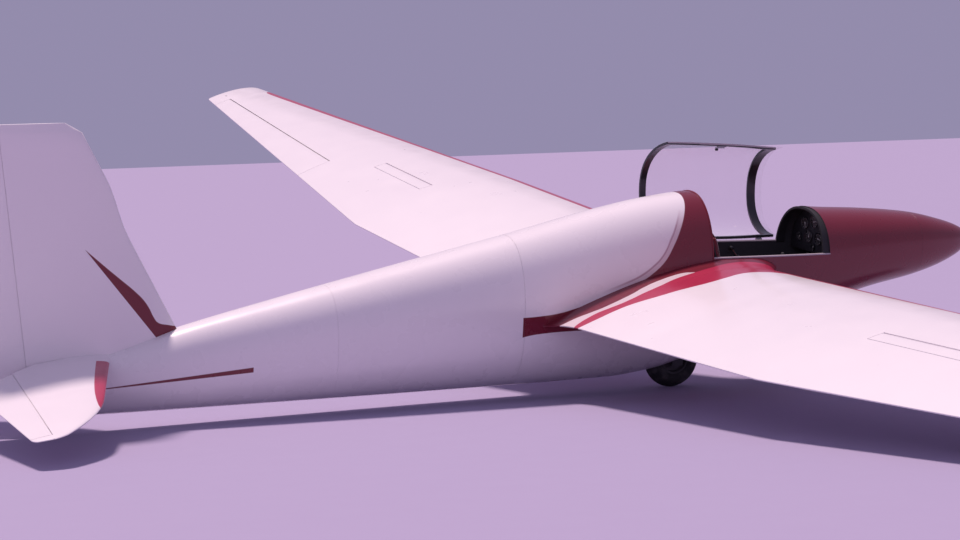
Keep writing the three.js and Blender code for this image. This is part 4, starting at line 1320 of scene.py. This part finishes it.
def skid_blade():
    """The curved runner under a wing tip."""
    top = wing_section(SKID_AT).point(0.5, 0)
    marks = [-point[0] for point in SKID_OUTLINE]
    deeps = [point[1] for point in SKID_OUTLINE]
    widths = [(-0.5, -0.35), (-0.5, 0.2), (0.5, 0.2), (0.5, -0.35), (0.3, 0), (-0.3, 0), (-0.5, -0.35)]

    def place(corner, along):
        deep = smooth_at(marks, deeps, along) * SKID_DEPTH
        lift = SKID_DEPTH * 0.6 if corner[1] > 0 else -corner[1] * 0.012
        z = top.z - deep + lift
        return Vector((top.x - along * SKID_LENGTH, SKID_AT + corner[0] * SKID_WIDTH, min(z, top.z)))

    return solid(widths, steps(-0.5, 0.5, 0.03), place)


def both_sides(make, name, paints, root=False):
    """Makes a piece for the left and its mirror image for the right."""
    for side in ("left", "right"):
        bm = make()
        if side == "right":
            mirrored(bm)
        part = name.rsplit("_", 1)[0]
        body = "airframe" if root else f"{side}_{part}"
        finished(bm, f"{side}_{name}", body, paints, [f"{side}_{part}"])


def tip_rows(start, stop, size):
    """Rows that crowd towards a rounded tip."""
    return [(start + (stop - start) * math.sin(a), False, False) for a in steps(0, math.pi / 2, size)][1:]


def wings():
    blade = Blade(wing_section, lambda y: AILERON_HINGE, brake=BRAKE_HINGE)
    inner, outer = BRAKE_SPAN
    low, high = AILERON_SPAN
    marks = [
        (WING_JOINT, False, False),
        (inner - GAP, False, True),
        (outer + GAP, False, False),
        (low - GAP, True, False),
        (high + GAP, False, False),
        (WING_TIP, False, False),
    ]
    fixed = rows(marks, 0.16) + tip_rows(WING_TIP, WING_END, 0.2)
    both_sides(lambda: fixed_part(blade, fixed, [18, 5, 6, 8]), "wing_skin",
               [wing_paint], root=True)
    both_sides(lambda: flap_part(blade, low, high, 0.15), "aileron_skin", [wing_paint])
    both_sides(lambda: airbrake_plate(blade), "airbrake_plate", [wing_paint])
    both_sides(fairing_skin, "wing_root_fairing_skin", [wing_paint], root=True)
    both_sides(skid_blade, "tip_skid_runner", ["skid_steel"], root=True)


def tail():
    room_x, room_half, growth = RUDDER_ROOM
    blade = Blade(tail_section, tail_hinge_share, 0.008)
    low, high = ELEVATOR_SPAN
    marks = [(0.03, True, False), (high + GAP, False, False), (TAIL_TIP, False, False)]
    fixed = rows(marks, 0.1) + tip_rows(TAIL_TIP, TAIL_SPAN, 0.25)

    def trimmed(bm, gap):
        normal = Vector((growth, 1, 0)).normalized()
        cut(bm, Vector((room_x, room_half + gap, 0)), normal, True)
        cap(bm)
        return bm

    both_sides(lambda: trimmed(fixed_part(blade, fixed, [14, 10]), 0.0), "stabilizer_skin",
               [tail_paint], root=True)
    both_sides(lambda: trimmed(flap_part(blade, low, high, 0.1), 0.006), "elevator_skin",
               [tail_paint])
    upright = Blade(fin_section, fin_hinge_share, 0.008)
    foot, shoulder, top = (level[0] for level in FIN_LEVELS)
    levels = rows([(foot, True, False), (shoulder, True, False)], 0.08)
    levels += [(shoulder + (top - shoulder) * t, True, False) for t in (0.35, 0.65, 0.85, 1)]
    bm = fixed_part(upright, levels, [16, 8])
    finished(bm, "fin_skin", "airframe", [fin_paint], ["fin"])
    bm = flap_part(upright, foot, top, 0.08)
    finished(bm, "rudder_skin", "rudder", [fin_paint], ["rudder"])


# Wheels

def tyre(name, body, node, x, radius, half, rim, grooves, sides):
    crown = []
    tread = radius - TREAD_WEAR
    count = 28
    for k in range(count + 1):
        angle = math.pi * k / count - math.pi / 2
        out = math.cos(angle) ** 0.75 if 0 < k < count else 0.0
        height = half * math.sin(angle) * (0.8 + 0.2 * min(out * 2, 1))
        depth = 0.0
        if abs(height) < half * 0.55 and round(abs(height) / (half * 0.14)) % 2 == 1:
            depth = grooves
        crown.append((rim + (tread - rim) * out - depth, height))
    profile = crown + [(rim * 0.97, half * 0.7), (rim * 0.97, -half * 0.7), crown[0]]
    bm = bmesh.new()
    turned(bm, profile, (x, 0, radius), (0, 1, 0), sides)
    weld(bm, 1e-5)
    outward(bm)
    finished(bm, name, body, [tyre_finish], [node], smooth=50)


def hub(name, body, node, x, radius, half, rim, bore, bolts):
    width = half * 0.78
    dish = width * 0.5
    face = [(bore, -width), (rim * 0.3, -width), (rim * 0.42, -dish), (rim * 0.8, -dish),
            (rim * 0.88, -width * 0.92), (rim * 0.95, -width), (rim - HAIR, -width)]
    profile = face + [(r, -h) for r, h in face[::-1]] + [face[0]]
    bm = bmesh.new()
    turned(bm, profile, (x, 0, radius), (0, 1, 0), 64)
    weld(bm, 1e-5)
    bevel(bm, sharp_edges(bm, 25), rim * 0.012, 2)
    outward(bm)
    for side in (-1, 1):
        for k in range(bolts):
            angle = 2 * math.pi * k / bolts
            centre = Vector((x + math.cos(angle) * rim * 0.62, 0, radius + math.sin(angle) * rim * 0.62))
            head = centre + Vector((0, side * (dish + rim * 0.06), 0))
            rod(bm, centre + Vector((0, side * dish * 0.9, 0)), head, rim * 0.06, sides=6)
    # The near black hub is partly painted shade.
    finished(bm, name, body, ["hub_enamel"], [node], smooth=28)


def wheels():
    main = (0, WHEEL_RADIUS, WHEEL_HALF, WHEEL_RIM)
    tyre("main_tyre_tread", "main_wheel", "main_tyre", *main, TREAD_GROOVE, 128)
    hub("main_hub", "main_wheel", "main_wheel_hub", *main, WHEEL_BORE, 6)
    rear = (TAIL_WHEEL_X, TAIL_WHEEL_RADIUS, TAIL_WHEEL_HALF, TAIL_WHEEL_RIM)
    tyre("tail_tyre_tread", "tail_wheel", "tail_tyre", *rear, TAIL_GROOVE, 64)
    hub("tail_hub", "tail_wheel", "tail_wheel_hub", *rear, TAIL_WHEEL_BORE, 4)
    wheel_well("main_wheel_well", 0, WELL_HALF_LENGTH, WELL_HALF_WIDTH, WELL_TOP, 0.05)


# Canopy

def canopy_shell(front, inset):
    """The bubble above the sill, between the rear arch and a front station, as a sheet."""
    bm = hull(front, CANOPY_REAR, 128, 0.04, inset)
    cut(bm, Vector((BULKHEAD, 0, SILL_REAR + CANOPY_LIFT)), SILL_NORMAL, True)
    return bm


def canopy():
    hoop_front = CANOPY_FRONT - CANOPY_OVERHANG
    bm = canopy_shell(CANOPY_FRONT, 0.0)
    glass = finished(bm, "canopy_perspex", "canopy", [glass_finish], ["canopy_glass"], OPENED)
    wall(glass, GLASS)
    bm = canopy_shell(hoop_front, GLASS + HAIR)
    rail = Vector((BULKHEAD, 0, SILL_REAR + CANOPY_LIFT + RAIL_HEIGHT))
    low, high = CANOPY_REAR + REAR_HOOP, hoop_front - FRONT_HOOP
    cut(bm, rail, SILL_NORMAL)
    cut(bm, (low, 0, 0), (1, 0, 0))
    cut(bm, (high, 0, 0), (1, 0, 0))
    clear(bm, lambda c: low < c.x < high and (c - rail).dot(SILL_NORMAL) > 0)
    hoops = finished(bm, "canopy_hoops", "canopy", ["black_enamel"], ["canopy_frame"], OPENED)
    wall(hoops, FRAME_DEPTH)
    rounded(hoops, 0.003, 2)
    canopy_edging(hoop_front)
    canopy_hinges()


def canopy_edging(front):
    """The light rubber strip under each rail of the canopy, and the latch on the free rail."""
    outline = [(-0.45, 0), (0.45, 0), (0.45, -0.7), (0.2, -1), (-0.2, -1), (-0.45, -0.7), (-0.45, 0)]
    seals = (("canopy_left_seal", 1, tyre_finish), ("canopy_right_seal", -1, "light_edging"))
    for name, side, paint in seals:

        def place(corner, x):
            z = sill_at(x) + CANOPY_LIFT + HAIR
            y = half_width(x, z, GLASS) - FRAME_DEPTH / 2
            return Vector((x, side * (y + corner[0] * FRAME_DEPTH), z + corner[1] * SEAL_DEPTH))

        bm = solid(outline, steps(CANOPY_REAR + GAP, front - GAP, 0.04), place)
        finished(bm, name, "canopy", [paint], place=OPENED)
    x = LATCH_AT
    y = -half_width(x, sill_at(x) + 0.02, GLASS) + FRAME_DEPTH
    z = sill_at(x) + CANOPY_LIFT + RAIL_HEIGHT / 2
    bm = bmesh.new()
    block(bm, (x - 0.03, y, z - 0.009), (x + 0.03, y + 0.006, z + 0.009), 0.0015)
    block(bm, (x - 0.045, y + 0.006, z - 0.005), (x + 0.02, y + 0.014, z + 0.005), 0.002)
    finished(bm, "canopy_latch", "canopy", ["brushed_steel"], place=OPENED)
    bm = bmesh.new()
    turned(bm, [(0, 0), (0.009, 0.001), (0.012, 0.008), (0.009, 0.015), (0, 0.017)],
           (x - 0.036, y + 0.013, z), (0, 1, 0), 24)
    outward(bm)
    finished(bm, "canopy_latch_knob", "canopy", ["black_enamel"], place=OPENED)


def canopy_hinges():
    """Two hinges on the left sill: a post on the airframe and two eyes on the canopy."""
    ends = [Vector((x, half_width(x, sill_at(x)) + HINGE_OUT, sill_at(x) + HINGE_UP)) for x in HINGES_AT]
    along = (ends[1] - ends[0]).normalized()
    ring = [(0.0042, -0.006), (0.0095, -0.006), (0.0095, 0.006), (0.0042, 0.006), (0.0042, -0.006)]
    for name, centre in zip(("rear", "front"), ends):
        bm = bmesh.new()
        turned(bm, ring, centre, along, 32)
        low = centre + Vector((-0.006, -0.012, -0.03))
        block(bm, low, centre + Vector((0.006, -0.004, -0.005)), 0.001)
        outward(bm)
        finished(bm, f"hinge_post_{name}", "airframe", ["brushed_steel"])
        bm = bmesh.new()
        for side in (-1, 1):
            rod(bm, centre + along * (side * 0.0095), centre + along * (side * 0.021), 0.007, sides=32)
            mid = centre + along * (side * 0.0152)
            block(bm, mid + Vector((-0.0055, -0.02, 0.001)), mid + Vector((0.0055, 0.002, 0.0085)), 0.001)
        rod(bm, centre - along * 0.022, centre + along * 0.022, 0.0038, sides=24)
        finished(bm, f"hinge_eyes_{name}", "canopy", ["brushed_steel"], place=OPENED)


# Cockpit

def cowl():
    """The black hood over the instruments."""

    def place(angle, t):
        rear = COWL_FOOT_REAR + (COWL_TOP_REAR - COWL_FOOT_REAR) * max(math.sin(angle), 0)
        point = hull_point(COWL_FRONT + (rear - COWL_FRONT) * t, angle, COWL_SUNK)
        point.z = max(point.z, sill_at(point.x) + 0.001)
        return point

    low = COWL_FOOT_ANGLE
    angles = [low + (math.pi - 2 * low) * k / 64 for k in range(65)]
    bm = sheet(angles, steps(0, 1, 0.12), place, 1e-5)
    middle = Vector((COWL_TOP_REAR, 0, PANEL_BOTTOM))
    bm.faces.ensure_lookup_table()
    if bm.faces[0].normal.dot(bm.faces[0].calc_center_median() - middle) < 0:
        bmesh.ops.reverse_faces(bm, faces=bm.faces)
    hood = finished(bm, "cowl_hood", "airframe", ["crackle_black"], ["glareshield"])
    wall(hood, COWL_THICKNESS)
    rounded(hood, 0.004, 3)


def panel():
    """The instrument panel, its dials and the screws round them."""
    inset = SKIN + 0.002
    arch = [hull_point(PANEL_X, a, inset) for a in steps(0, math.pi, 0.05)]
    outline = [p for p in arch if p.z > PANEL_BOTTOM]
    low = half_width(PANEL_X, PANEL_BOTTOM, inset)
    outline += [(PANEL_X, y, PANEL_BOTTOM) for y in (-low, low)]
    bm = bmesh.new()
    prism(bm, outline, (PANEL_THICKNESS, 0, 0))
    bevel(bm, sharp_edges(bm, 60), 0.001)
    finished(bm, "panel_board", "airframe", ["crackle_black"], ["instrument_panel"])
    for k, (y, z, radius) in enumerate(DIALS):
        dial(k + 1, y, z, radius)


def spoke(angle):
    return Vector((0, math.cos(angle), math.sin(angle)))


def dial(number, y, z, radius):
    back = (-1, 0, 0)
    centre = Vector((PANEL_X, y, z))
    bm = bmesh.new()
    turned(bm, [(radius * 0.86, 0.0), (radius, 0.0), (radius, 0.004), (radius * 0.95, 0.0065),
                (radius * 0.88, 0.006), (radius * 0.86, 0.003), (radius * 0.86, 0.0)], centre, back, 40)
    for k in range(4):
        angle = math.pi / 4 + k * math.pi / 2
        spot = centre + spoke(angle) * radius * 1.13
        rod(bm, spot, spot + Vector((-0.0025, 0, 0)), radius * 0.06, sides=12)
    outward(bm)
    finished(bm, f"dial_bezel_{number}", "airframe", ["black_enamel"])
    bm = bmesh.new()
    turned(bm, [(0, 0.001), (radius * 0.86, 0.001), (radius * 0.86, 0.0002), (0, 0.0002)], centre, back, 40)
    outward(bm)
    finished(bm, f"dial_face_{number}", "airframe", ["dial_face"])
    bm = bmesh.new()
    raised = Vector((-0.0016, 0, 0))
    for angle in full_turn(12)[:-1]:
        rod(bm, centre + spoke(angle) * radius * 0.68 + raised, centre + spoke(angle) * radius * 0.8 + raised,
            radius * 0.022, sides=6)
    hand = spoke(1.2 + 1.7 * number)
    start = centre + Vector((-0.0026, 0, 0))
    rod(bm, start - hand * radius * 0.16, start + hand * radius * 0.66, radius * 0.05, radius * 0.015, 8)
    rod(bm, start, start + Vector((-0.0012, 0, 0)), radius * 0.09, sides=16)
    finished(bm, f"dial_marks_{number}", "airframe", ["dial_marks"])


def stick():
    foot = STICK_FOOT + (STICK_NECK - STICK_FOOT) * STICK_RAISED
    bm = bmesh.new()
    rod(bm, foot, STICK_NECK, 0.009, sides=24)
    finished(bm, "stick_tube", "airframe", ["brushed_steel"])
    bm = bmesh.new()
    run = GRIP_TOP - GRIP_FOOT
    length = run.length
    profile = [(0, 0), (0.011, 0.0), (0.0145, 0.006), (0.0125, 0.02), (0.0148, 0.034), (0.0125, 0.048),
               (0.0148, 0.062), (0.0125, 0.076), (0.0145, 0.092), (0.0135, length - 0.008),
               (0.008, length), (0, length + 0.0005)]
    turned(bm, profile, GRIP_FOOT, run, 32)
    outward(bm)
    finished(bm, "stick_grip", "airframe", ["crackle_black"], ["control_stick"])
    bm = bmesh.new()
    axis = (STICK_NECK - foot).normalized()
    profile = [(0.0095, 0.066), (0.014, 0.056), (0.0175, 0.044), (0.0155, 0.041), (0.024, 0.029),
               (0.021, 0.026), (0.032, 0.014), (0.028, 0.011), (0.038, 0.0)]
    turned(bm, profile, foot, axis, 40)
    outward(bm)
    finished(bm, "stick_boot", "airframe", [tyre_finish])


def levers():
    """Brake lever, trim lever and tow release on the cockpit's left and right walls."""
    knob = [(0, -0.004), (0.008, -0.003), (0.0125, 0.006), (0.0125, 0.016), (0.008, 0.024), (0, 0.026)]
    for name, side, x, z in LEVERS:
        base = Vector((x, side * (half_width(x, z, SKIN) - 0.004), z))
        inward = Vector((0, -side, 0))
        tip = base + inward * 0.02 + LEVER_ARM
        bm = bmesh.new()
        rod(bm, base, base + inward * 0.022, 0.016, 0.013, 24)
        rod(bm, base + inward * 0.014, tip, 0.005, sides=16)
        finished(bm, name, "airframe", ["brushed_steel"])
        bm = bmesh.new()
        turned(bm, knob, tip, LEVER_ARM, 24)
        outward(bm)
        finished(bm, f"{name}_knob", "airframe", ["black_enamel"])


def headrest():
    bm = bmesh.new()
    half, rise = HEADREST_HALF_WIDTH, HEADREST_HALF_HEIGHT
    low = (BULKHEAD - 0.012, -half, HEADREST_MIDDLE - rise)
    block(bm, low, (HEADREST_FRONT, half, HEADREST_MIDDLE + rise), 0.02, 5)
    long_edges = [e for e in bm.edges if e.calc_length() > 0.03]
    bmesh.ops.subdivide_edges(bm, edges=long_edges, cuts=6, use_grid_fill=True)
    for vert in bm.verts:
        y, z = vert.co.y / half, (vert.co.z - HEADREST_MIDDLE) / rise
        if vert.co.x > 0.13:
            crown = max(1 - y * y, 0) * max(1 - z * z, 0)
            vert.co.x += 0.006 * crown - 0.004 * math.exp(-(vert.co.y / 0.008) ** 2)
    outward(bm)
    finished(bm, "headrest_pad", "airframe", [leather_finish], ["headrest"], smooth=60)


def cushion(name, node, outline, half, swell):
    """A stuffed cushion: its plain shape is swelled as cloth, then its sewn channels are drawn in."""
    bm = bmesh.new()
    prism(bm, [(x, -half, z) for x, z in outline], (0, 2 * half, 0))
    bevel(bm, sharp_edges(bm, 40), 0.01, 3)
    piece = linked(bm, name)
    remesh = piece.modifiers.new("remesh", "REMESH")
    remesh.mode = "VOXEL"
    remesh.voxel_size = VOXEL
    bake(piece)
    start = [v.co.copy() for v in piece.data.vertices]
    cloth = piece.modifiers.new("cloth", "CLOTH")
    cloth.settings.use_pressure = True
    cloth.settings.uniform_pressure_force = CLOTH_PRESSURE
    cloth.settings.effector_weights.gravity = 0
    scene = bpy.context.scene
    for number in range(1, CLOTH_FRAMES + 1):
        scene.frame_set(number)
    bake(piece)
    scene.frame_set(1)
    for vert, origin in zip(piece.data.vertices, start):
        moved = vert.co - origin
        if moved.length > swell:
            moved *= swell / moved.length
        vert.co = origin + moved
    bm = bmesh.new()
    bm.from_mesh(piece.data)
    bm.normal_update()
    for vert in bm.verts:
        pull = max(math.exp(-((vert.co.y - y) / CHANNEL_WIDTH) ** 2) for y in CHANNELS)
        upper = max(vert.normal.z, vert.normal.x, 0)
        vert.co -= vert.normal * (CHANNEL_DEPTH * pull * upper)
    bmesh.ops.smooth_vert(bm, verts=bm.verts, factor=0.4, use_axis_x=True, use_axis_y=True,
                          use_axis_z=True)
    bmesh.ops.transform(bm, matrix=PARKED, verts=bm.verts)
    for face in bm.faces:
        face.smooth = True
    bm.to_mesh(piece.data)
    bm.free()
    piece.data.materials.append(painted(cloth_finish))
    soften = piece.modifiers.new("soften", "SUBSURF")
    soften.levels = 1
    soften.render_levels = 1
    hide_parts(node)
    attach(piece, "airframe")


def bake(piece):
    """Puts the piece's modifiers into its mesh."""
    bpy.context.view_layer.update()
    made = piece.evaluated_get(bpy.context.evaluated_depsgraph_get())
    mesh = bpy.data.meshes.new_from_object(made)
    piece.modifiers.clear()
    piece.data = mesh


def harness():
    """Two shoulder straps, two lap straps and the buckle that joins them."""
    width = sizes().strap_width
    for name, side in (("left", 1), ("right", -1)):
        y = side * STRAP_APART
        path = arc_path([(x, y * share, z) for x, share, z in SHOULDER_STRAP], 40)
        bm = bmesh.new()
        ribbon(bm, path, width, STRAP_THICKNESS, (0, 1, 0))
        finished(bm, f"{name}_shoulder_strap", "airframe", [webbing_finish])
        path = arc_path([(x, side * out, z) for x, out, z in LAP_STRAP], 26)
        bm = bmesh.new()
        ribbon(bm, path, width * 0.95, STRAP_THICKNESS, (0.86, 0, -0.5))
        finished(bm, f"{name}_lap_strap", "airframe", [webbing_finish])
        bm = bmesh.new()
        y = side * LAP_STRAP[0][1]
        block(bm, (0.306, y - 0.004, 0.463), (0.354, y + 0.004, 0.492), 0.0015)
        finished(bm, f"{name}_lap_anchor", "airframe", ["brushed_steel"])
        bm = bmesh.new()
        x, out, z = ADJUSTER
        middle = Vector((x, side * out, z))
        low = middle - Vector((0.004, width * 0.62, 0.016))
        block(bm, low, middle + Vector((0.006, width * 0.62, 0.016)), 0.002)
        finished(bm, f"{name}_strap_adjuster", "airframe", ["brushed_steel"])
    bm = bmesh.new()
    profile = [(0, 0), (0.03, 0), (0.033, 0.004), (0.031, 0.011), (0.018, 0.015), (0.016, 0.02), (0, 0.021)]
    turned(bm, profile, BUCKLE, (0.12, 0, 1), 48)
    outward(bm)
    finished(bm, "harness_buckle", "airframe", ["cast_alloy"])


# Groups

class GliderOperator(bpy.types.Operator):
    """What every operator here shares."""

    bl_options = {"REGISTER", "UNDO"}


class SAILPLANE_OT_fuselage(GliderOperator):
    """Builds the four fuselage skins, the bulkhead and the trim of the cockpit opening"""

    bl_idname = "sailplane.fuselage"
    bl_label = "Fuselage"

    def execute(self, context):
        nose_skin()
        cockpit_skin()
        centre_skin()
        tail_skin()
        bulkhead_plate()
        sill_trim()
        arch_flange()
        return {"FINISHED"}


class SAILPLANE_OT_wings(GliderOperator):
    """Builds the wings with their ailerons, airbrakes, root fairings and tip runners"""

    bl_idname = "sailplane.wings"
    bl_label = "Wings"

    def execute(self, context):
        wings()
        return {"FINISHED"}


class SAILPLANE_OT_tail(GliderOperator):
    """Builds the fin, the rudder, the stabilizers and the elevators"""

    bl_idname = "sailplane.tail"
    bl_label = "Tail"

    def execute(self, context):
        tail()
        return {"FINISHED"}


class SAILPLANE_OT_wheels(GliderOperator):
    """Builds the tyres, hubs and wheel wells"""

    bl_idname = "sailplane.wheels"
    bl_label = "Wheels"

    def execute(self, context):
        wheels()
        return {"FINISHED"}


class SAILPLANE_OT_canopy(GliderOperator):
    """Builds the opened canopy: perspex, hoops, seals, latch and hinges"""

    bl_idname = "sailplane.canopy"
    bl_label = "Canopy"

    def execute(self, context):
        canopy()
        return {"FINISHED"}


class SAILPLANE_OT_cockpit(GliderOperator):
    """Builds the cowl, the panel and its dials, the stick, the levers and the headrest"""

    bl_idname = "sailplane.cockpit"
    bl_label = "Cockpit"

    def execute(self, context):
        cowl()
        panel()
        stick()
        levers()
        headrest()
        return {"FINISHED"}


class SAILPLANE_OT_cushions(GliderOperator):
    """Builds the seat and back cushions and the harness that lies on them"""

    bl_idname = "sailplane.cushions"
    bl_label = "Cushions and Harness"

    def execute(self, context):
        for row in CUSHIONS:
            cushion(*row)
        harness()
        return {"FINISHED"}


class SAILPLANE_OT_finishes(GliderOperator):
    """Gives the metal and moulded pieces that keep their own shape a finish"""

    bl_idname = "sailplane.finishes"
    bl_label = "Finishes"

    def execute(self, context):
        kept = {
            # The axle takes the near black of the hubs, partly painted shade.
            "main_axle": "hub_enamel",
            "tail_wheel_fork": "brushed_steel",
            "seat_pan": "cockpit_liner",
            "cockpit_floor": "cockpit_liner",
            "left_rudder_pedal": "cast_alloy",
            "right_rudder_pedal": "cast_alloy",
            "tow_hook": "brushed_steel",
        }
        for name, paint in kept.items():
            materials = frame["nodes"][name].data.materials
            materials.clear()
            materials.append(painted(paint))
        left = [n for n, o in frame["nodes"].items() if not o.hide_render and n not in kept]
        if left:
            raise RuntimeError(f"nodes without a finish: {left}")
        return {"FINISHED"}


class SAILPLANE_OT_stage(GliderOperator):
    """Sets the floor, the soft light and the camera"""

    bl_idname = "sailplane.stage"
    bl_label = "Stage"

    def execute(self, context):
        floor()
        lights()
        camera()
        return {"FINISHED"}


def floor():
    bm = bmesh.new()
    bmesh.ops.create_grid(bm, x_segments=2, y_segments=2, size=FLOOR_SIZE)
    ground = linked(bm, "studio_floor")
    ground.data.materials.append(painted("pale_floor"))


def lights():
    world = bpy.data.worlds.new("studio")
    bpy.context.scene.world = world
    world.use_nodes = True
    background = world.node_tree.nodes["Background"]
    background.inputs["Color"].default_value = rgba(looks().ambient)
    background.inputs["Strength"].default_value = AMBIENT_STRENGTH
    for name, source, strength, colour, softness in LAMPS:
        lamp = bpy.data.lights.new(name, "SUN")
        lamp.energy = strength
        lamp.color = colour
        lamp.angle = math.radians(softness)
        holder = bpy.data.objects.new(name, lamp)
        bpy.context.scene.collection.objects.link(holder)
        holder.location = source
        holder.rotation_euler = Vector(source).to_track_quat("Z", "Y").to_euler()
    bpy.context.scene.view_settings.view_transform = "Standard"


def camera():
    """The photograph's viewpoint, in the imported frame."""
    heading, pitch = CAMERA_HEADING, CAMERA_PITCH
    lens = bpy.data.cameras.new("camera")
    lens.sensor_width = CAMERA_SENSOR
    lens.lens = CAMERA_LENS
    lens.clip_end = CAMERA_REACH
    holder = bpy.data.objects.new("camera", lens)
    bpy.context.scene.collection.objects.link(holder)
    flat = math.cos(pitch)
    look = Vector((math.cos(heading) * flat, math.sin(heading) * flat, math.sin(pitch)))
    right = Vector((math.sin(heading), -math.cos(heading), 0))
    up = right.cross(look)
    level = Matrix((right, up, -look)).transposed()
    turn = Matrix.Rotation(-CAMERA_ROLL, 3, look)
    holder.matrix_world = Matrix.Translation(CAMERA_PLACE) @ (turn @ level).to_4x4()
    bpy.context.scene.camera = holder


class SailplaneSizes(bpy.types.PropertyGroup):
    sill_width: FloatProperty(
        name="Sill Width", description="Width of the light edging along the cockpit opening",
        default=0.02, min=0.01, max=0.05, unit="LENGTH",
    )
    strap_width: FloatProperty(
        name="Strap Width", description="Width of the harness webbing",
        default=0.045, min=0.02, max=0.08, unit="LENGTH",
    )


def colour_property(name, description, default):
    return FloatVectorProperty(name=name, description=description, default=default, size=3,
                               min=0.0, max=1.0, subtype="COLOR")


class SailplaneLooks(bpy.types.PropertyGroup):
    white: colour_property("White", "White enamel of the airframe", (0.86, 0.81, 0.84))
    red: colour_property("Dark Red", "Red of the nose and the fuselage stripe", (0.165, 0.009, 0.024))
    # The nose's red painted lighter, as painted sunlight, for the upward-facing wing and tail trim.
    red_lit: colour_property("Red", "Red of the wing and tail trim", (0.45, 0.02, 0.07))
    # Trim also serves as the painted shade on the white of the wing root fillet.
    trim: colour_property("Trim", "Light gap beside the red", (0.66, 0.54, 0.57))
    line: colour_property("Line", "Thin dull line beside the gap", (0.46, 0.3, 0.35))
    # Used for dust on the tyres, for painted shade along the wings' leading edges and for the patchy
    # darkening low on the fuselage.
    dust_and_shade: colour_property("Grime", "Dust and oil on the belly", (0.42, 0.38, 0.38))
    black: colour_property("Black", "Black enamel", (0.012, 0.012, 0.016))
    liner: colour_property("Liner", "Paint inside the cockpit", (0.03, 0.03, 0.036))
    edging: colour_property("Edging", "Edging of the cockpit and the canopy", (0.44, 0.38, 0.42))
    rubber: colour_property("Rubber", "Tyres", (0.02, 0.02, 0.022))
    cloth: colour_property("Cloth", "Cushions", (0.2, 0.012, 0.025))
    webbing: colour_property("Webbing", "Harness", (0.62, 0.5, 0.5))
    floor: colour_property("Floor", "Studio floor", (0.37, 0.32, 0.48))
    ambient: colour_property("Ambient", "Soft light from all round", (0.64, 0.57, 0.9))


STEPS = ["fuselage", "wings", "tail", "wheels", "canopy", "cockpit", "cushions", "finishes", "stage"]


class SAILPLANE_PT_panel(bpy.types.Panel):
    """Lists the steps that build the sailplane, with its sizes and colours"""

    bl_idname = "SAILPLANE_PT_panel"
    bl_label = "Sailplane"
    bl_space_type = "VIEW_3D"
    bl_region_type = "UI"
    bl_category = "Sailplane"

    def draw(self, context):
        column = self.layout.column(align=True)
        for step in STEPS:
            column.operator(f"sailplane.{step}")
        for group in (context.scene.sailplane_sizes, context.scene.sailplane_looks):
            box = self.layout.box()
            for name in group.__annotations__:
                box.prop(group, name)


CLASSES = [
    SailplaneSizes,
    SailplaneLooks,
    SAILPLANE_OT_fuselage,
    SAILPLANE_OT_wings,
    SAILPLANE_OT_tail,
    SAILPLANE_OT_wheels,
    SAILPLANE_OT_canopy,
    SAILPLANE_OT_cockpit,
    SAILPLANE_OT_cushions,
    SAILPLANE_OT_finishes,
    SAILPLANE_OT_stage,
    SAILPLANE_PT_panel,
]


def register():
    for item in CLASSES:
        bpy.utils.register_class(item)
    bpy.types.Scene.sailplane_sizes = bpy.props.PointerProperty(type=SailplaneSizes)
    bpy.types.Scene.sailplane_looks = bpy.props.PointerProperty(type=SailplaneLooks)


def unregister():
    del bpy.types.Scene.sailplane_looks
    del bpy.types.Scene.sailplane_sizes
    for item in reversed(CLASSES):
        bpy.utils.unregister_class(item)


def main():
    register()
    for step in STEPS:
        getattr(bpy.ops.sailplane, step)()
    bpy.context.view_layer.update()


if __name__ == "__main__":
    main()
